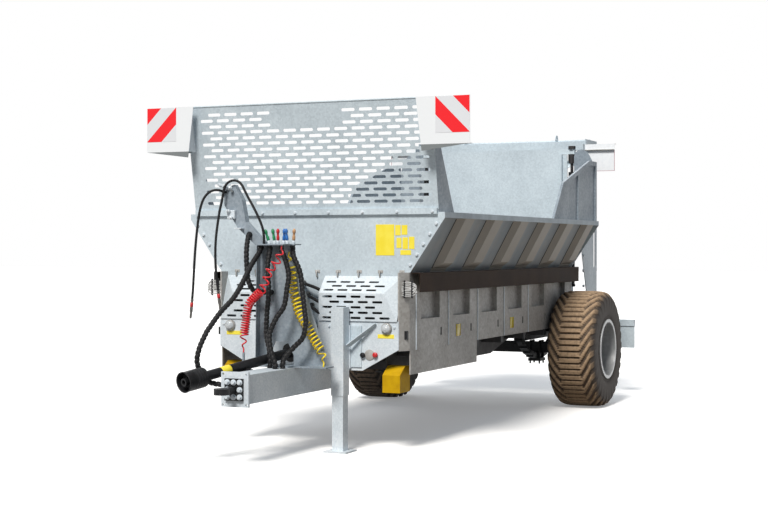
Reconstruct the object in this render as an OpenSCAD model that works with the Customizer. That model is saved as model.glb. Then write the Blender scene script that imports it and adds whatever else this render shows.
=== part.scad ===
// Single-axle manure spreader with a flared hopper, a perforated front screen,
// a rising rear gate and two upright beaters. Millimetres, +X forwards, +Y to the left, +Z up.

/* [Wheels and axle] */
// Overall diameter of a tyre
tyre_d = 1172; // [1120:2:1200]
// Width of a tyre over its sidewalls
tyre_w = 500; // [470:2:510]
// Gap between a tyre and the body beside it
wheel_gap = 18; // [14:1:40]
// Diameter of the rim where the tyre sits
rim_d = 572; // [550:1:600]
// Width of the rim between its flanges
rim_w = 470; // [450:1:476]
// Height of the rim's flange over the bead seat
rim_flange = 14; // [8:1:16]
// Wall of the rim and of its dish
rim_t = 16; // [10:1:20]
// Distance of the dish inboard of the tyre's middle
dish_in = 34; // [20:1:60]
// Number of lugs round a tyre
lug_n = 60; // [48:2:62]
// Height of a lug over the tyre's crown
lug_h = 22; // [16:1:26]
// Width of a lug
lug_w = 38; // [30:1:42]
// Length of a lug's bar across the crown
lug_bar = 200; // [170:5:220]
// Length of a lug's arm over the shoulder
lug_arm = 140; // [100:5:150]
// Lean of a lug's arm against its bar
lug_lean = 55; // [45:1:60]
// Fall of a lug's arm towards the flank
lug_fall = 7; // [5:1:9]
// Diameter of the axle's stubs
stub_d = 80; // [60:1:90]
// Width and height of the axle's square beam
axle_sq = 110; // [90:1:120]
// Diameter of the brake drum
drum_d = 350; // [300:2:380]
// Running clearance round a shaft in its bore
run_fit = 0.05; // [0.02:0.01:0.1]
// Clearance that keeps moving pieces off fixed ones
clear = 6; // [5:0.5:10]

/* [Leaf springs] */
// Distance of each spring from the middle
spring_y = 600; // [590:1:610]
// Half the length of the longest leaf
spring_half = 550; // [500:5:600]
// Rise of the longest leaf from its middle to its eyes
spring_rise = 160; // [120:5:170]
// Thickness of one leaf
leaf_t = 14; // [10:1:16]
// Width of the leaves
leaf_w = 80; // [60:1:90]
// Number of leaves
leaf_n = 4; // [3:1:4]
// Diameter of the pins in the spring's eyes
eye_pin_d = 24; // [18:1:28]
// Height of the beam between a spring's hangers
carrier_h = 60; // [40:1:65]
// Diameter of the clamp bolts round the axle
clamp_d = 18; // [14:1:22]

/* [Hopper] */
// Distance of the front wall ahead of the axle
front_x = 3970; // [3900:5:4040]
// Distance of the hopper's rear end behind the axle
rear_x = 405; // [395:1:420]
// Height of the flare and its rail over the knee
flare_h = 475; // [440:5:520]
// Half width over the top rails
rail_y = 1145; // [1130:1:1160]
// Width of the top rail
rail_w = 85; // [80:1:95]
// Height of the top rail
rail_h = 45; // [35:1:60]
// Half width of the body below the flare
body_y = 852; // [845:1:858]
// Half width of the load space between the sides
load_y = 790; // [780:1:800]
// Height of the body's underside over the axle's middle
body_up = 214; // [205:1:240]
// Height of the floor over the body's underside
floor_up = 130; // [125:1:140]
// Thickness of the floor
floor_t = 15; // [10:1:20]
// Thickness of the hopper's sheets
sheet_t = 8; // [5:1:10]
// Distance between the flare's ribs
rib_pitch = 703; // [650:1:740]
// Distance of the first rib ahead of the axle
rib_first = 3400; // [3380:5:3450]
// Number of ribs on each flare
rib_n = 6; // [4:1:6]
// Width of a rib at its foot
rib_w = 330; // [250:5:360]
// Width of a rib at its crest
rib_crest = 210; // [150:5:230]
// Height of a rib
rib_h = 50; // [30:1:60]
// Distance of a rib's foot from the knee, up the flare
rib_foot = 30; // [20:1:60]

/* [Body sides] */
// Depth of the recesses between the posts
recess = 46; // [30:1:50]
// Width of a recess
recess_w = 400; // [300:5:430]
// Height of the recesses over the body's underside
recess_up = 240; // [200:5:280]
// Width of the slot in each post
slot_w = 34; // [20:1:50]
// Height of the slot in each post
slot_h = 66; // [40:1:90]
// Height of the slots over the body's underside
slot_up = 122; // [80:2:150]
// Distance of the first slot ahead of the axle
slot_first = 3315; // [3280:5:3340]
// Length by which the sides pass the front wall
side_over = 110; // [100:1:130]
// Length of the slanted corner at the front of the sides
corner_cut = 90; // [60:2:100]

/* [Skirts] */
// Distance of the skirt's face from the middle
skirt_y = 931; // [920:1:945]
// Gap between the tyre's top and the skirt's edge
skirt_gap = 88; // [60:1:110]
// Height of the knee over the skirt's edge
skirt_h = 155; // [145:1:165]
// Drop of the skirt's bend below the knee
skirt_drop = 4; // [4:1:40]
// Front end of the skirt
skirt_front = 3965; // [3900:5:3985]
// Thickness of the skirt
skirt_t = 4; // [3:0.5:6]

/* [Front screen] */
// Half width of the screen
screen_y = 1095; // [1090:1:1100]
// Gap between the rail and the screen
screen_gap = 20; // [5:1:40]
// Height of the screen
screen_h = 862; // [780:2:900]
// Lean of the screen's upper edge ahead of its lower edge
screen_lean = 156; // [120:1:170]
// Height of the folded strip along the screen's foot
screen_foot = 36; // [30:1:50]
// Depth of that strip ahead of the front wall
screen_foot_x = 25; // [15:1:35]
// Diameter of the bar along the screen's upper edge
screen_bar = 14; // [10:1:20]
// Thickness of the screen
screen_t = 4; // [3:0.5:6]
// Length of a slot
mesh_slot = 117; // [90:1:125]
// Height of a slot
mesh_h = 25; // [18:1:30]
// Distance between slots in a row
mesh_pitch = 152; // [145:1:170]
// Distance between rows
mesh_row = 49; // [44:1:54]
// Number of rows
mesh_n = 16; // [10:1:16]
// Number of upper rows that leave their middle bare
mesh_bare_n = 3; // [0:1:4]
// Half width of the bare middle
mesh_bare_y = 330; // [200:5:400]
// Length of the screen's side plates at their foot
return_x = 330; // [250:5:360]

/* [Warning boards] */
// Side of a striped square
board = 283; // [270:1:300]
// Distance of a board's outer edge from the middle
board_y = 1437; // [1425:1:1450]
// Height of a board's plate
board_h = 368; // [330:1:380]
// Inner edge of a board's plate at its top
board_in = 990; // [970:5:1010]
// Distance of the boards ahead of the screen's upper edge
board_off = 62; // [50:1:70]
// Slant of a board's lower and inner edges
board_skew = 50; // [40:1:60]
// Thickness of a board's plate
board_t = 3; // [2:0.5:5]
// Depth of the flange below a board
board_lip = 60; // [40:1:80]

/* [Front end] */
// Thickness of the front plates
plate_t = 8; // [6:1:10]
// Height of the front plates' top over the body's underside
plate_up = 230; // [210:1:250]
// Height of the front plates' outer corner over the body's underside
plate_corner = 10; // [5:1:30]
// Depth of the front plates below the body's underside
plate_drop = 160; // [140:1:180]
// Distance at which the front plates' slanted edge ends
plate_slope_y = 490; // [450:5:540]
// Height of the upright part of the guards
guard_h = 220; // [200:1:240]
// Distance of the guards' inner edge from the middle
guard_in = 110; // [105:1:130]
// Thickness of the guards
guard_t = 4; // [3:0.5:5]
// Length of a slot in the guards
guard_slot = 88; // [70:1:95]
// Height of a slot in the guards
guard_slot_h = 18; // [12:1:20]
// Distance between slots in the guards
guard_pitch = 125; // [120:1:140]
// Distance between rows of slots in the guards
guard_row = 42; // [36:1:44]
// Outer diameter of a front lamp
lamp_d = 90; // [70:1:110]

/* [Frame] */
// Width of a main beam
beam_w = 100; // [90:1:105]
// Height of the main beams in front
beam_deep_h = 180; // [170:1:190]
// Height of the main beams over the axle
beam_h = 60; // [50:1:64]
// Wall of the beams
beam_t = 10; // [8:1:12]
// Rear end of the main beams behind the axle
beam_rear = 790; // [780:1:800]
// Front end of the deep part of the beams
beam_deep = 1550; // [1400:10:1700]
// Rear end of the beams' slant
beam_slant = 1000; // [900:10:1100]
// Number of cross members under the floor
cross_n = 7; // [5:1:8]
// Width of a cross member
cross_w = 60; // [50:1:80]
// Length of the deep panels under the front of the sides
sill_len = 1500; // [1300:10:1600]
// Height of those panels
sill_h = 190; // [160:1:200]

/* [Drawbar] */
// Width of the drawbar
bar_w = 200; // [180:1:210]
// Depth of the drawbar's top below the body's underside
bar_drop = 120; // [118:1:130]
// Height of the drawbar
bar_h = 215; // [200:1:225]
// Wall of the drawbar
bar_t = 10; // [8:1:12]
// Rear end of the drawbar ahead of the axle
bar_rear = 3700; // [3680:5:3720]
// Front face of the drawbar's end plate ahead of the axle
bar_front = 5260; // [5200:5:5300]
// Thickness of the end plate
end_t = 20; // [15:1:25]
// Width of the end plate
end_w = 228; // [224:1:240]
// Height of the end plate
end_h = 258; // [250:1:270]
// Distance of the hitch eye ahead of the axle
eye_x = 5450; // [5400:5:5500]
// Bore of the hitch eye
eye_bore = 50; // [40:1:52]
// Outer diameter of the hitch eye
eye_od = 115; // [105:1:125]
// Thickness of the hitch eye
eye_t = 45; // [40:1:60]
// Width of the hitch eye's flange
eye_flange_w = 150; // [145:1:155]
// Height of the hitch eye's flange
eye_flange_h = 162; // [155:1:170]
// Bolt diameter in the end plate and flange
bolt_d = 17; // [13:1:21]

/* [Wheel chocks] */
// Width of a chock
chock_w = 150; // [130:1:170]
// Length of a chock
chock_len = 200; // [180:5:215]
// Height of a chock
chock_h = 205; // [160:1:210]
// Depth of the chocks' tops below the body's underside
chock_drop = 125; // [122:1:150]
// Distance of the chocks' rear ends behind the side's front end
chock_back = 220; // [216:1:260]

/* [Parking leg] */
// Distance of the leg ahead of the axle
leg_x = 4170; // [4165:1:4180]
// Distance of the leg from the middle
leg_y = 333; // [325:1:340]
// Outer width of the leg's sleeve
leg_sq = 108; // [102:1:112]
// Wall of the sleeve
leg_t = 6; // [5:0.5:8]
// Side clearance of the leg in its sleeve
leg_fit = 0.5; // [0.3:0.1:1]
// Height of the sleeve's top over the body's underside
leg_up = 342; // [320:1:360]
// Depth of the sleeve's lower end below the body's underside
leg_drop = 354; // [340:1:365]
// Length of the tube inside the sleeve
leg_lap = 254; // [200:2:280]
// Width of the foot
foot_w = 200; // [180:2:210]
// Thickness of the foot
foot_t = 12; // [8:1:16]

/* [Rear gate] */
// Half width of the gate
gate_y = 720; // [700:1:730]
// Height of the gate over the rail
gate_over = 712; // [690:1:730]
// Thickness of the gate
gate_t = 30; // [20:1:40]
// Distance of the gate's front face behind the axle
gate_x = 475; // [470:1:480]
// Thickness of the gate's guides
guide_t = 15; // [10:1:20]
// Lap of the gate behind its guides' edges
gate_lap = 30; // [20:1:40]
// Height of the gate's top beam
gate_beam = 55; // [40:1:80]
// Travel of the gate
gate_rise = 900; // [600:10:900]
// Outer diameter of the lifting cylinders
cyl_d = 60; // [50:1:70]
// Diameter of the cylinders' rods
rod_d = 32; // [25:1:36]
// Distance of the cylinders from the middle
cyl_y = 831; // [825:1:840]
// Height of the barrels' tops over the rail
cyl_over = 524; // [500:2:540]
// Depth of the barrels' lower ends below the rail
cyl_under = 660; // [640:5:720]

/* [Rear wings] */
// Front end of the wings
wing_front = 1085; // [1000:5:1150]
// Place of the bend in the wings' edge
wing_bend_x = 772; // [700:5:850]
// Height of the bend in the wings' edge over the rail
wing_bend_h = 357; // [300:1:420]
// Place where the wings reach full height
wing_full_x = -149; // [-200:1:-100]
// Height of the wings over the rail
wing_h = 618; // [560:1:660]
// Place of the wings' middle rib
wing_rib = 220; // [150:5:280]
// Thickness of the wings
wing_t = 6; // [4:0.5:8]
// Width of the wings' edge flange and ribs
wing_lip = 45; // [30:1:50]

/* [Beaters] */
// Distance of the beaters behind the axle
beat_x = 920; // [915:1:930]
// Distance of the beaters from the middle
beat_y = 400; // [390:1:420]
// Radius over the teeth
beat_r = 330; // [310:1:340]
// Radius of the flights
flight_r = 290; // [260:1:300]
// Diameter of a beater's tube
tube_d = 170; // [140:1:190]
// Radius of the throwing disc
disc_r = 350; // [330:1:360]
// Thickness of the throwing disc
disc_t = 12; // [8:1:15]
// Height of the beaters' tubes over the rail
beat_over = 750; // [720:2:770]
// Diameter of the beater's shafts
beat_shaft = 60; // [50:1:70]
// Gap between the beaters' tubes and the top beam
top_gap = 30; // [20:1:50]
// Height of the top beam
top_h = 95; // [80:1:110]
// Width of the top beam
top_w = 120; // [100:1:140]
// Diameter of the pipe on the top beam
pipe_d = 28; // [20:1:30]
// Diameter of the lifting eyes on the top beam
lift_d = 90; // [70:1:100]
// Distance of the lifting eyes from the middle
lift_y = 525; // [500:5:600]
// Turns of a beater's flights
beat_turns = 3; // [2:1:3]
// Thickness of a flight
flight_t = 24; // [16:1:30]
// Number of teeth on a flight
tooth_n = 15; // [8:1:16]
// Width of a tooth
tooth_w = 50; // [30:1:60]
// Distance of the side plates from the middle
cheek_y = 950; // [940:1:960]
// Thickness of the side plates
cheek_t = 8; // [6:1:12]
// Rear edge of the side plates behind the axle
cheek_rear = 1000; // [990:1:1020]
// Height of the side plates' front corner over the knee
cheek_up = 220; // [180:5:260]
// Length of the slot in the side plates
cheek_slot = 520; // [400:5:560]
// Width of that slot and of the plate behind it
cheek_slot_w = 60; // [40:1:70]
// Distance of the mast for the rear board behind the hopper
mast_x = 60; // [50:1:70]
// Width of the mast
mast_w = 100; // [80:1:120]
// Depth of the gearbox beam below the body's underside
base_drop = 140; // [130:1:160]
// Length of the gearbox beam along the machine
base_w = 260; // [255:1:280]
// Thickness of the tray under the beaters
tray_t = 20; // [15:1:25]
// Depth of the tray's underside below the deck's
tray_drop = 5; // [4:0.5:8]
// Rear edge of the tray behind the axle
tray_rear = 1180; // [1150:5:1200]

/* [Rear lamps] */
// Rear face of the lamp bar behind the axle
lampbar_x = 1400; // [1380:5:1420]
// Half length of the lamp bar
lampbar_y = 1280; // [1260:5:1300]
// Height of the lamp bar's top over the body's underside
lampbar_up = 20; // [5:1:30]
// Height of the lamp bar
lampbar_h = 70; // [60:1:80]
// Depth of the lamp bar
lampbar_w = 40; // [30:1:50]
// Width of a lamp plate
lamp_w = 190; // [150:5:220]
// Height of the lamp plates
lamp_h = 240; // [200:2:260]
// Height of the rear boards' lower edge over the rail
rboard_over = 530; // [510:2:550]
// Height of the rear boards
rboard_h = 286; // [270:1:300]

/* [Floor conveyor] */
// Distance of the chains from the middle
chain_y = 350; // [300:5:400]
// Height of a chain link
link_h = 25; // [20:1:25]
// Distance between links
link_pitch = 100; // [90:1:120]
// Width of a link
link_w = 34; // [24:1:40]
// Distance between slats
slat_pitch = 400; // [300:10:500]
// Width of a slat
slat_w = 50; // [40:1:60]
// Half length of a slat
slat_y = 700; // [650:5:740]
// Height of a slat over the chain's own
slat_h = 10; // [5:1:14]
// Diameter of the conveyor's shafts
conv_d = 50; // [40:1:60]
// Place of the front shaft ahead of the axle
conv_front = 3870; // [3865:1:3872]
// Place of the rear shaft behind the axle
conv_rear = 320; // [315:1:322]
// Width of a sprocket
sprocket_w = 20; // [14:1:24]

/* [Drive line] */
// Height of the power input over the body's underside
input_up = 0; // [-5:1:5]
// Diameter of the input stub
input_d = 35; // [30:1:38]
// Depth of the long shaft below the body's underside
drive_drop = 80; // [76:1:84]
// Diameter of the shaft under the floor
drive_d = 50; // [40:1:50]
// Length of the gearbox behind the front plates
box_len = 95; // [80:1:100]
// Half width of that gearbox
box_y = 120; // [100:1:140]
// Length of the couplings at the ends of the long shaft
joint_len = 80; // [60:1:90]
// Length of the input stub and its yoke ahead of the front plates
stub_len = 112; // [105:1:120]
// Diameter of the cardan shaft's yokes
yoke_d = 60; // [50:1:64]
// Length of the yoke for the tractor
yoke_len = 60; // [50:1:80]
// Distance of the parked shaft's end behind the hitch eye
park_back = 130; // [110:1:150]
// Distance of the parked shaft's end to the right of the middle
park_side = 346; // [335:1:360]
// Depth of the parked shaft's end below the drawbar's top
park_drop = 51; // [40:1:60]
// Distance of the shaft's saddle behind the drawbar's end
saddle_back = 470; // [440:5:500]
// Thickness of the saddle
saddle_t = 20; // [15:1:25]
// Reach of the saddle from the middle
saddle_y = 245; // [235:1:255]
// Diameter of the cardan shaft's guard tube
guard_d = 75; // [65:1:80]
// Diameter of the cardan shaft's bells
bell_d = 150; // [130:1:160]
// Length of a bell
bell_len = 130; // [100:5:150]

/* [Hose stand] */
// Distance of the stand ahead of the axle
stand_x = 4400; // [4380:5:4405]
// Height of the stand over the drawbar
stand_h = 960; // [920:5:980]
// Thickness of the stand's sheet
stand_t = 5; // [3:0.5:6]
// Depth of the arm that carries the hoses
arm_w = 60; // [50:1:65]
// Diameter of the wrapped hoses
hose_d = 42; // [36:1:44]
// Diameter of the bare hoses
hang_d = 20; // [16:1:22]
// Outer diameter of the coiled air lines
coil_d = 66; // [56:1:70]

/* [Hidden] */
$fn = 64;

// Middle of the whole length, where the origin lies
mid_x = (eye_x + eye_od / 2 - lampbar_x) / 2;
axle_z = tyre_d / 2;
track = 2 * (body_y + wheel_gap) + tyre_w;
body_z = axle_z + body_up;
beam_mid = body_z - beam_h;
beam_lo = body_z - beam_deep_h;
floor_z = body_z + floor_up;
skirt_lo = tyre_d + skirt_gap;
knee_z = skirt_lo + skirt_h;
rail_z = knee_z + flare_h;
recess_z = body_z + recess_up;
slot_z = body_z + slot_up;
skirt_hi = knee_z - skirt_drop;
screen_lo = rail_z + screen_gap;
screen_hi = screen_lo + screen_h;
plate_hi = body_z + plate_up;
plate_lo = body_z + plate_corner;
plate_foot = body_z - plate_drop;
guard_fold = plate_hi + guard_h;
sill_z = body_z - sill_h;
bar_hi = body_z - bar_drop;
bar_lo = bar_hi - bar_h;
leg_top = body_z + leg_up;
leg_low = body_z - leg_drop;
leg_in_top = leg_low + leg_lap;
gate_hi = rail_z + gate_over;
cyl_hi = rail_z + cyl_over;
cyl_lo = rail_z - cyl_under;
wing_bend_z = rail_z + wing_bend_h;
wing_hi = rail_z + wing_h;
tube_hi = rail_z + beat_over;
top_lo = tube_hi + top_gap;
top_hi = top_lo + top_h;
base_lo = body_z - base_drop;
lampbar_hi = body_z + lampbar_up;
lamp_lo = lampbar_hi - lampbar_h - lamp_h;
rboard_lo = rail_z + rboard_over;
input_z = body_z + input_up;
drive_z = body_z - drive_drop;
stand_hi = bar_hi + stand_h;
tyre_in = track / 2 - tyre_w / 2;
front_end = front_x + side_over;
front_face = front_end + plate_t;
// Upper edge of the flared sheets, set in so that the ribs end flush under the rail
flare_y = rail_y - 1.2 * rib_h;
flare_tilt = atan2(flare_y - body_y, rail_z - rail_h - knee_z);
flare_len = norm([flare_y - body_y, rail_z - rail_h - knee_z]);
// Ribs that find room between the front wall and the hopper's rear end
rib_fit = min(rib_n, floor((rib_first + rear_x - rib_w / 2) / rib_pitch) + 1);
screen_tilt = atan2(screen_lean, screen_hi - screen_lo);
screen_len = norm([screen_lean, screen_hi - screen_lo]);
deck_lo = floor_z - floor_t;
chain_lo = body_z + clear + slat_h;
chain_z = (floor_z + link_h + chain_lo) / 2;
sprocket_r = (floor_z + link_h - chain_lo) / 2 - link_h;
chain_end = sprocket_r + link_h + slat_h + clear;
galvanised = "#b9c2c7";
dark_metal = "#26282a";
rubber = "#2b2622";
black_sheet = "#2e2723";
yellow = "#e8b20c";

// Moves what is drawn from the axle's middle to the machine's own origin
module place() translate([-mid_x, 0, 0]) children();

// Draws a piece on the left and its mirror image on the right
module both_sides() {
    children();
    mirror([0, 1, 0]) children();
}

// Right-hand copy of a left-hand piece
module right_side() mirror([0, 1, 0]) children();

// Box between two corners
module block(low, high) translate(low) cube(high - low);

// Outline in Y and Z, drawn from x forwards by t
module across(x, t) translate([x, 0, 0]) rotate([90, 0, 90]) linear_extrude(t) children();

// Outline in X and Z, drawn from y to the left by t
module along(y, t) translate([0, y + t, 0]) rotate([90, 0, 0]) linear_extrude(t) children();

// Straight cylinder between two points
module rod(from, to, d) {
    way = to - from;
    translate(from) rotate([0, acos(way.z / norm(way)), atan2(way.y, way.x)])
        cylinder(d = d, h = norm(way));
}

// Flat slot with round ends, centred
module slot2d(len, high) {
    square([len - high, high], center = true);
    for (end = [-1, 1]) translate([end * (len - high) / 2, 0]) circle(d = high);
}

function unit(v) = v / norm(v);

// Point at t between b and c on the smooth curve through a, b, c and d
function bend(a, b, c, d, t) = 0.5 * (2 * b + (c - a) * t + (2 * a - 5 * b + 4 * c - d) * t * t
    + (3 * b - a - 3 * c + d) * t * t * t);

// Smooth route through the points, with steps points for each stretch
function smooth(p, steps) = let (last = len(p) - 1) concat(
    [for (i = [0:last - 1], s = [0:steps - 1])
        bend(p[max(i - 1, 0)], p[i], p[i + 1], p[min(i + 2, last)], s / steps)], [p[last]]);

// Heading at each point of a smooth route p; its ends keep the straight headings of the plain route r
function headings(p, r) = let (last = len(p) - 1, end = len(r) - 1) [for (i = [0:last])
    unit(i == 0 ? r[1] - r[0] : i == last ? r[end] - r[end - 1] : p[i + 1] - p[i - 1])];

// Sideways directions carried along the route without twisting
function carried(t, n, i = 0) = i == len(t) ? [] :
    let (m = unit(n - (n * t[i]) * t[i])) concat([m], carried(t, m, i + 1));

// Closed tube along a smooth route through the points of r
module tube(r, d, steps = 2, sides = 8) {
    p = smooth(r, steps);
    t = headings(p, r);
    n = carried(t, abs(t[0].y) < 0.9 ? [0, 1, 0] : [1, 0, 0]);
    last = len(p) - 1;
    points = [for (i = [0:last], k = [0:sides - 1])
        p[i] + d / 2 * (cos(360 * k / sides) * n[i] + sin(360 * k / sides) * cross(t[i], n[i]))];
    walls = [for (i = [0:last - 1], k = [0:sides - 1])
        let (a = i * sides + k, b = i * sides + (k + 1) % sides)
        each [[a, a + sides, b + sides], [a, b + sides, b]]];
    caps = [[for (k = [0:sides - 1]) k], [for (k = [sides - 1:-1:0]) last * sides + k]];
    polyhedron(points, concat(walls, caps));
}

crown_r = tyre_d / 2 - lug_h;
bead_r = rim_d / 2 + rim_flange + clear;
flank_r = (crown_r + bead_r) / 2;
square_off = 0.45;

// Point of a tyre's rounded square section, a degrees from its crown
function flank(a) = [flank_r + (crown_r - flank_r) * sign(cos(a)) * pow(abs(cos(a)), square_off),
    tyre_w / 2 * pow(sin(a), square_off)];

// Section of a tyre: crown and flanks from the rounded square, with a flat bead on the rim
module tyre_section() {
    half = [for (a = [4, 9, 16, 26, 38, 52, 66, 80, 95, 110, 125]) flank(a)];
    bead = [[bead_r, -rim_w / 2], [rim_d / 2, -rim_w / 2], [rim_d / 2, rim_w / 2], [bead_r, rim_w / 2]];
    polygon(concat(bead, [for (i = [len(half) - 1:-1:0]) half[i]], [for (q = half) [q.x, -q.y]]));
}

// Bars across the crown, each with one arm that leans over the left or the right shoulder in turn
module lugs() {
    top = sqrt(tyre_d * tyre_d - lug_w * lug_w) / 2;
    for (i = [0:lug_n - 1]) {
        side = i % 2 == 0 ? 1 : -1;
        rotate(i * 360 / lug_n) {
            translate([top - 2 * lug_h, -lug_w / 2, -lug_bar / 2]) cube([2 * lug_h, lug_w, lug_bar]);
            translate([top, 0, side * lug_bar / 2])
                rotate([side * lug_lean, 0, 0]) rotate([0, -side * lug_fall, 0])
                translate([-2 * lug_h, -lug_w / 2, side > 0 ? 0 : -lug_arm])
                    cube([2 * lug_h, lug_w, lug_arm]);
        }
    }
}

module at_wheel() translate([0, track / 2, axle_z]) rotate([-90, 0, 0]) children();

module tyre() at_wheel() {
    rotate_extrude($fn = 96) tyre_section();
    lugs();
}

// Deep steel rim: barrel, two flanges and a dish well inboard
module rim() {
    hub_hole = drum_d / 4;
    at_wheel() rotate_extrude($fn = 96) {
        translate([rim_d / 2 - rim_t, -rim_w / 2 - rim_t / 2]) square([rim_t, rim_w + rim_t]);
        for (side = [-1, 1])
            translate([rim_d / 2 - rim_t, side * (rim_w / 2 + rim_t / 4) - rim_t / 4])
                square([rim_t + rim_flange, rim_t / 2]);
        translate([hub_hole, -dish_in - rim_t]) square([rim_d / 2 - rim_t / 2 - hub_hole, rim_t]);
    }
}

// Hub with its brake drum, blind bore for the stub and cap
module hub() {
    back = track / 2 - tyre_in - tyre_w / 10;
    drum_len = back - dish_in - rim_t;
    at_wheel() difference() {
        union() {
            translate([0, 0, -back]) cylinder(d = drum_d, h = drum_len * 0.6);
            translate([0, 0, -back]) cylinder(d = drum_d / 2, h = drum_len);
            translate([0, 0, -dish_in - rim_t - rim_t]) cylinder(d = drum_d * 0.8, h = rim_t);
            translate([0, 0, -dish_in - rim_t]) cylinder(d = drum_d / 2, h = dish_in + rim_t + rim_t);
        }
        translate([0, 0, -back - 1]) cylinder(d = stub_d + 2 * run_fit, h = back + 1 - dish_in);
    }
}

module axle_beam() {
    beam_end = spring_y + leaf_w * 2;
    stub_end = track / 2 - dish_in - clear;
    plate_in = tyre_in + tyre_w / 10 - clear - plate_t;
    block([-axle_sq / 2, -beam_end, axle_z - axle_sq / 2], [axle_sq / 2, beam_end, axle_z + axle_sq / 2]);
    both_sides() {
        translate([0, beam_end, axle_z]) rotate([-90, 0, 0]) cylinder(d = stub_d, h = stub_end - beam_end);
        translate([0, plate_in, axle_z]) rotate([-90, 0, 0]) cylinder(d = drum_d, h = plate_t);
    }
}

spring_r = (spring_half * spring_half + spring_rise * spring_rise) / (2 * spring_rise);
// Fall of the longest leaf between the edges of the axle and its middle
spring_sag = spring_r - sqrt(spring_r * spring_r - axle_sq * axle_sq / 4);
spring_top = axle_z - axle_sq / 2 - spring_sag - run_fit;
spring_low = spring_top - leaf_n * leaf_t;
spring_eye_z = spring_top + spring_rise - leaf_t / 2;

leaf_lap = 0.5;

// Leaves of falling length under the axle, with an eye at each end of the longest
module leaf_spring() {
    eye_d = eye_pin_d * 2;
    difference() {
        union() {
            for (i = [0:leaf_n - 1]) {
                reach = asin((spring_half - 0.75 * eye_pin_d) / spring_r) * (1 - i / (leaf_n + 1));
                translate([0, spring_y, spring_top + spring_r]) rotate([90, 0, 0]) rotate(-90 - reach)
                    rotate_extrude(angle = 2 * reach, $fn = 360)
                        translate([spring_r + i * leaf_t - (i > 0 ? leaf_lap : 0), -leaf_w / 2])
                        square([leaf_t + leaf_lap, leaf_w]);
            }
            for (end = [-1, 1])
                translate([end * spring_half, spring_y - leaf_w / 2, spring_eye_z])
                    rotate([-90, 0, 0]) cylinder(d = eye_d, h = leaf_w);
        }
        for (end = [-1, 1])
            translate([end * spring_half, spring_y - leaf_w, spring_eye_z])
                rotate([-90, 0, 0]) cylinder(d = eye_pin_d + 2 * run_fit, h = 2 * leaf_w);
    }
}

// Plate below the leaves with bolts that pass up round the axle
module spring_clamp() {
    bolt_x = axle_sq / 2 + clamp_d / 2;
    bolt_y = leaf_w / 2 + clamp_d / 2;
    bolt_top = axle_z + axle_sq / 2 + clamp_d / 2;
    block([-bolt_x - clamp_d, spring_y - bolt_y - clamp_d, spring_low - 2 * leaf_t],
        [bolt_x + clamp_d, spring_y + bolt_y + clamp_d, spring_low]);
    for (side = [-1, 1]) {
        y = spring_y + side * bolt_y;
        for (end = [-1, 1])
            translate([end * bolt_x, y, spring_low - 4 * leaf_t])
                cylinder(d = clamp_d, h = bolt_top - spring_low + 4 * leaf_t);
        rod([-bolt_x, y, bolt_top], [bolt_x, y, bolt_top], clamp_d);
    }
}

// Black beam between the hangers, under the main beam
module spring_carrier() {
    end = spring_half - 2 * eye_pin_d - clear;
    block([-end, spring_y - beam_w / 2, beam_mid - carrier_h], [end, spring_y + beam_w / 2, beam_mid]);
}

// Two cheeks and a pin that carry one spring eye below the main beam
module spring_hanger(x) {
    half = eye_pin_d * 1.6;
    for (side = [-1, 1])
        translate([0, side * (leaf_w + plate_t) / 2, 0])
            block([x - half, spring_y - plate_t / 2, spring_eye_z - half],
                [x + half, spring_y + plate_t / 2, beam_mid]);
    rod([x, spring_y - leaf_w / 2 - plate_t, spring_eye_z],
        [x, spring_y + leaf_w / 2 + plate_t, spring_eye_z], eye_pin_d);
}

// Channel-section beam, deep in front and shallow over the axle
module main_beam() {
    beam_end = front_end - side_over;
    difference() {
        along(spring_y - beam_w / 2, beam_w) polygon([[-beam_rear, beam_mid], [beam_slant, beam_mid],
            [beam_deep, beam_lo], [beam_end, beam_lo], [beam_end, body_z], [-beam_rear, body_z]]);
        block([beam_deep, spring_y - beam_w / 2 - 1, beam_lo + beam_t],
            [beam_end + 1, spring_y + beam_w / 2 - beam_t, body_z - beam_t]);
    }
}

// Ribs under the floor, outriggers from the main beams to the sides and the beam that takes the drawbar
module cross_members_all() {
    first = -conv_rear + chain_end + cross_w;
    last = conv_front - chain_end - cross_w;
    rib_lo = chain_lo + link_h + clear;
    for (i = [0:cross_n - 1]) {
        x = first + i * (last - first) / (cross_n - 1);
        difference() {
            block([x - cross_w / 2, -load_y, rib_lo], [x + cross_w / 2, load_y, deck_lo]);
            block([x - cross_w / 2 + beam_t, -load_y - 1, rib_lo - 1],
                [x + cross_w / 2 - beam_t, load_y + 1, deck_lo - beam_t]);
        }
        both_sides() block([x - cross_w / 2, spring_y + beam_w / 2, beam_mid],
            [x + cross_w / 2, body_y - beam_t, body_z]);
    }
    block([bar_rear - beam_w, beam_w / 2 - spring_y, beam_lo],
        [bar_rear, spring_y - beam_w / 2, drive_z - drive_d / 2 - clear]);
}

module front_sill() difference() {
    block([front_x - sill_len, load_y, sill_z], [front_x, body_y, body_z]);
    block([front_x - sill_len - 1, load_y - 1, sill_z - 1], [front_x + 1, body_y - beam_t, body_z + 1]);
}

// Flat plate beside the drawbar, its lower edge rising outwards
module front_plate() across(front_end, plate_t) polygon([[bar_w / 2, plate_hi], [load_y + 10, plate_hi],
    [load_y + 10, plate_lo], [plate_slope_y, plate_foot], [bar_w / 2, plate_foot]]);

guard_x = front_face + 12;
guard_top = knee_z - 30;
guard_back = front_x + sheet_t;
guard_slope = atan2(guard_x - guard_back, guard_top - guard_fold);
guard_slope_len = norm([guard_x - guard_back, guard_top - guard_fold]);
guard_hip_y = load_y - 110;

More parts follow.
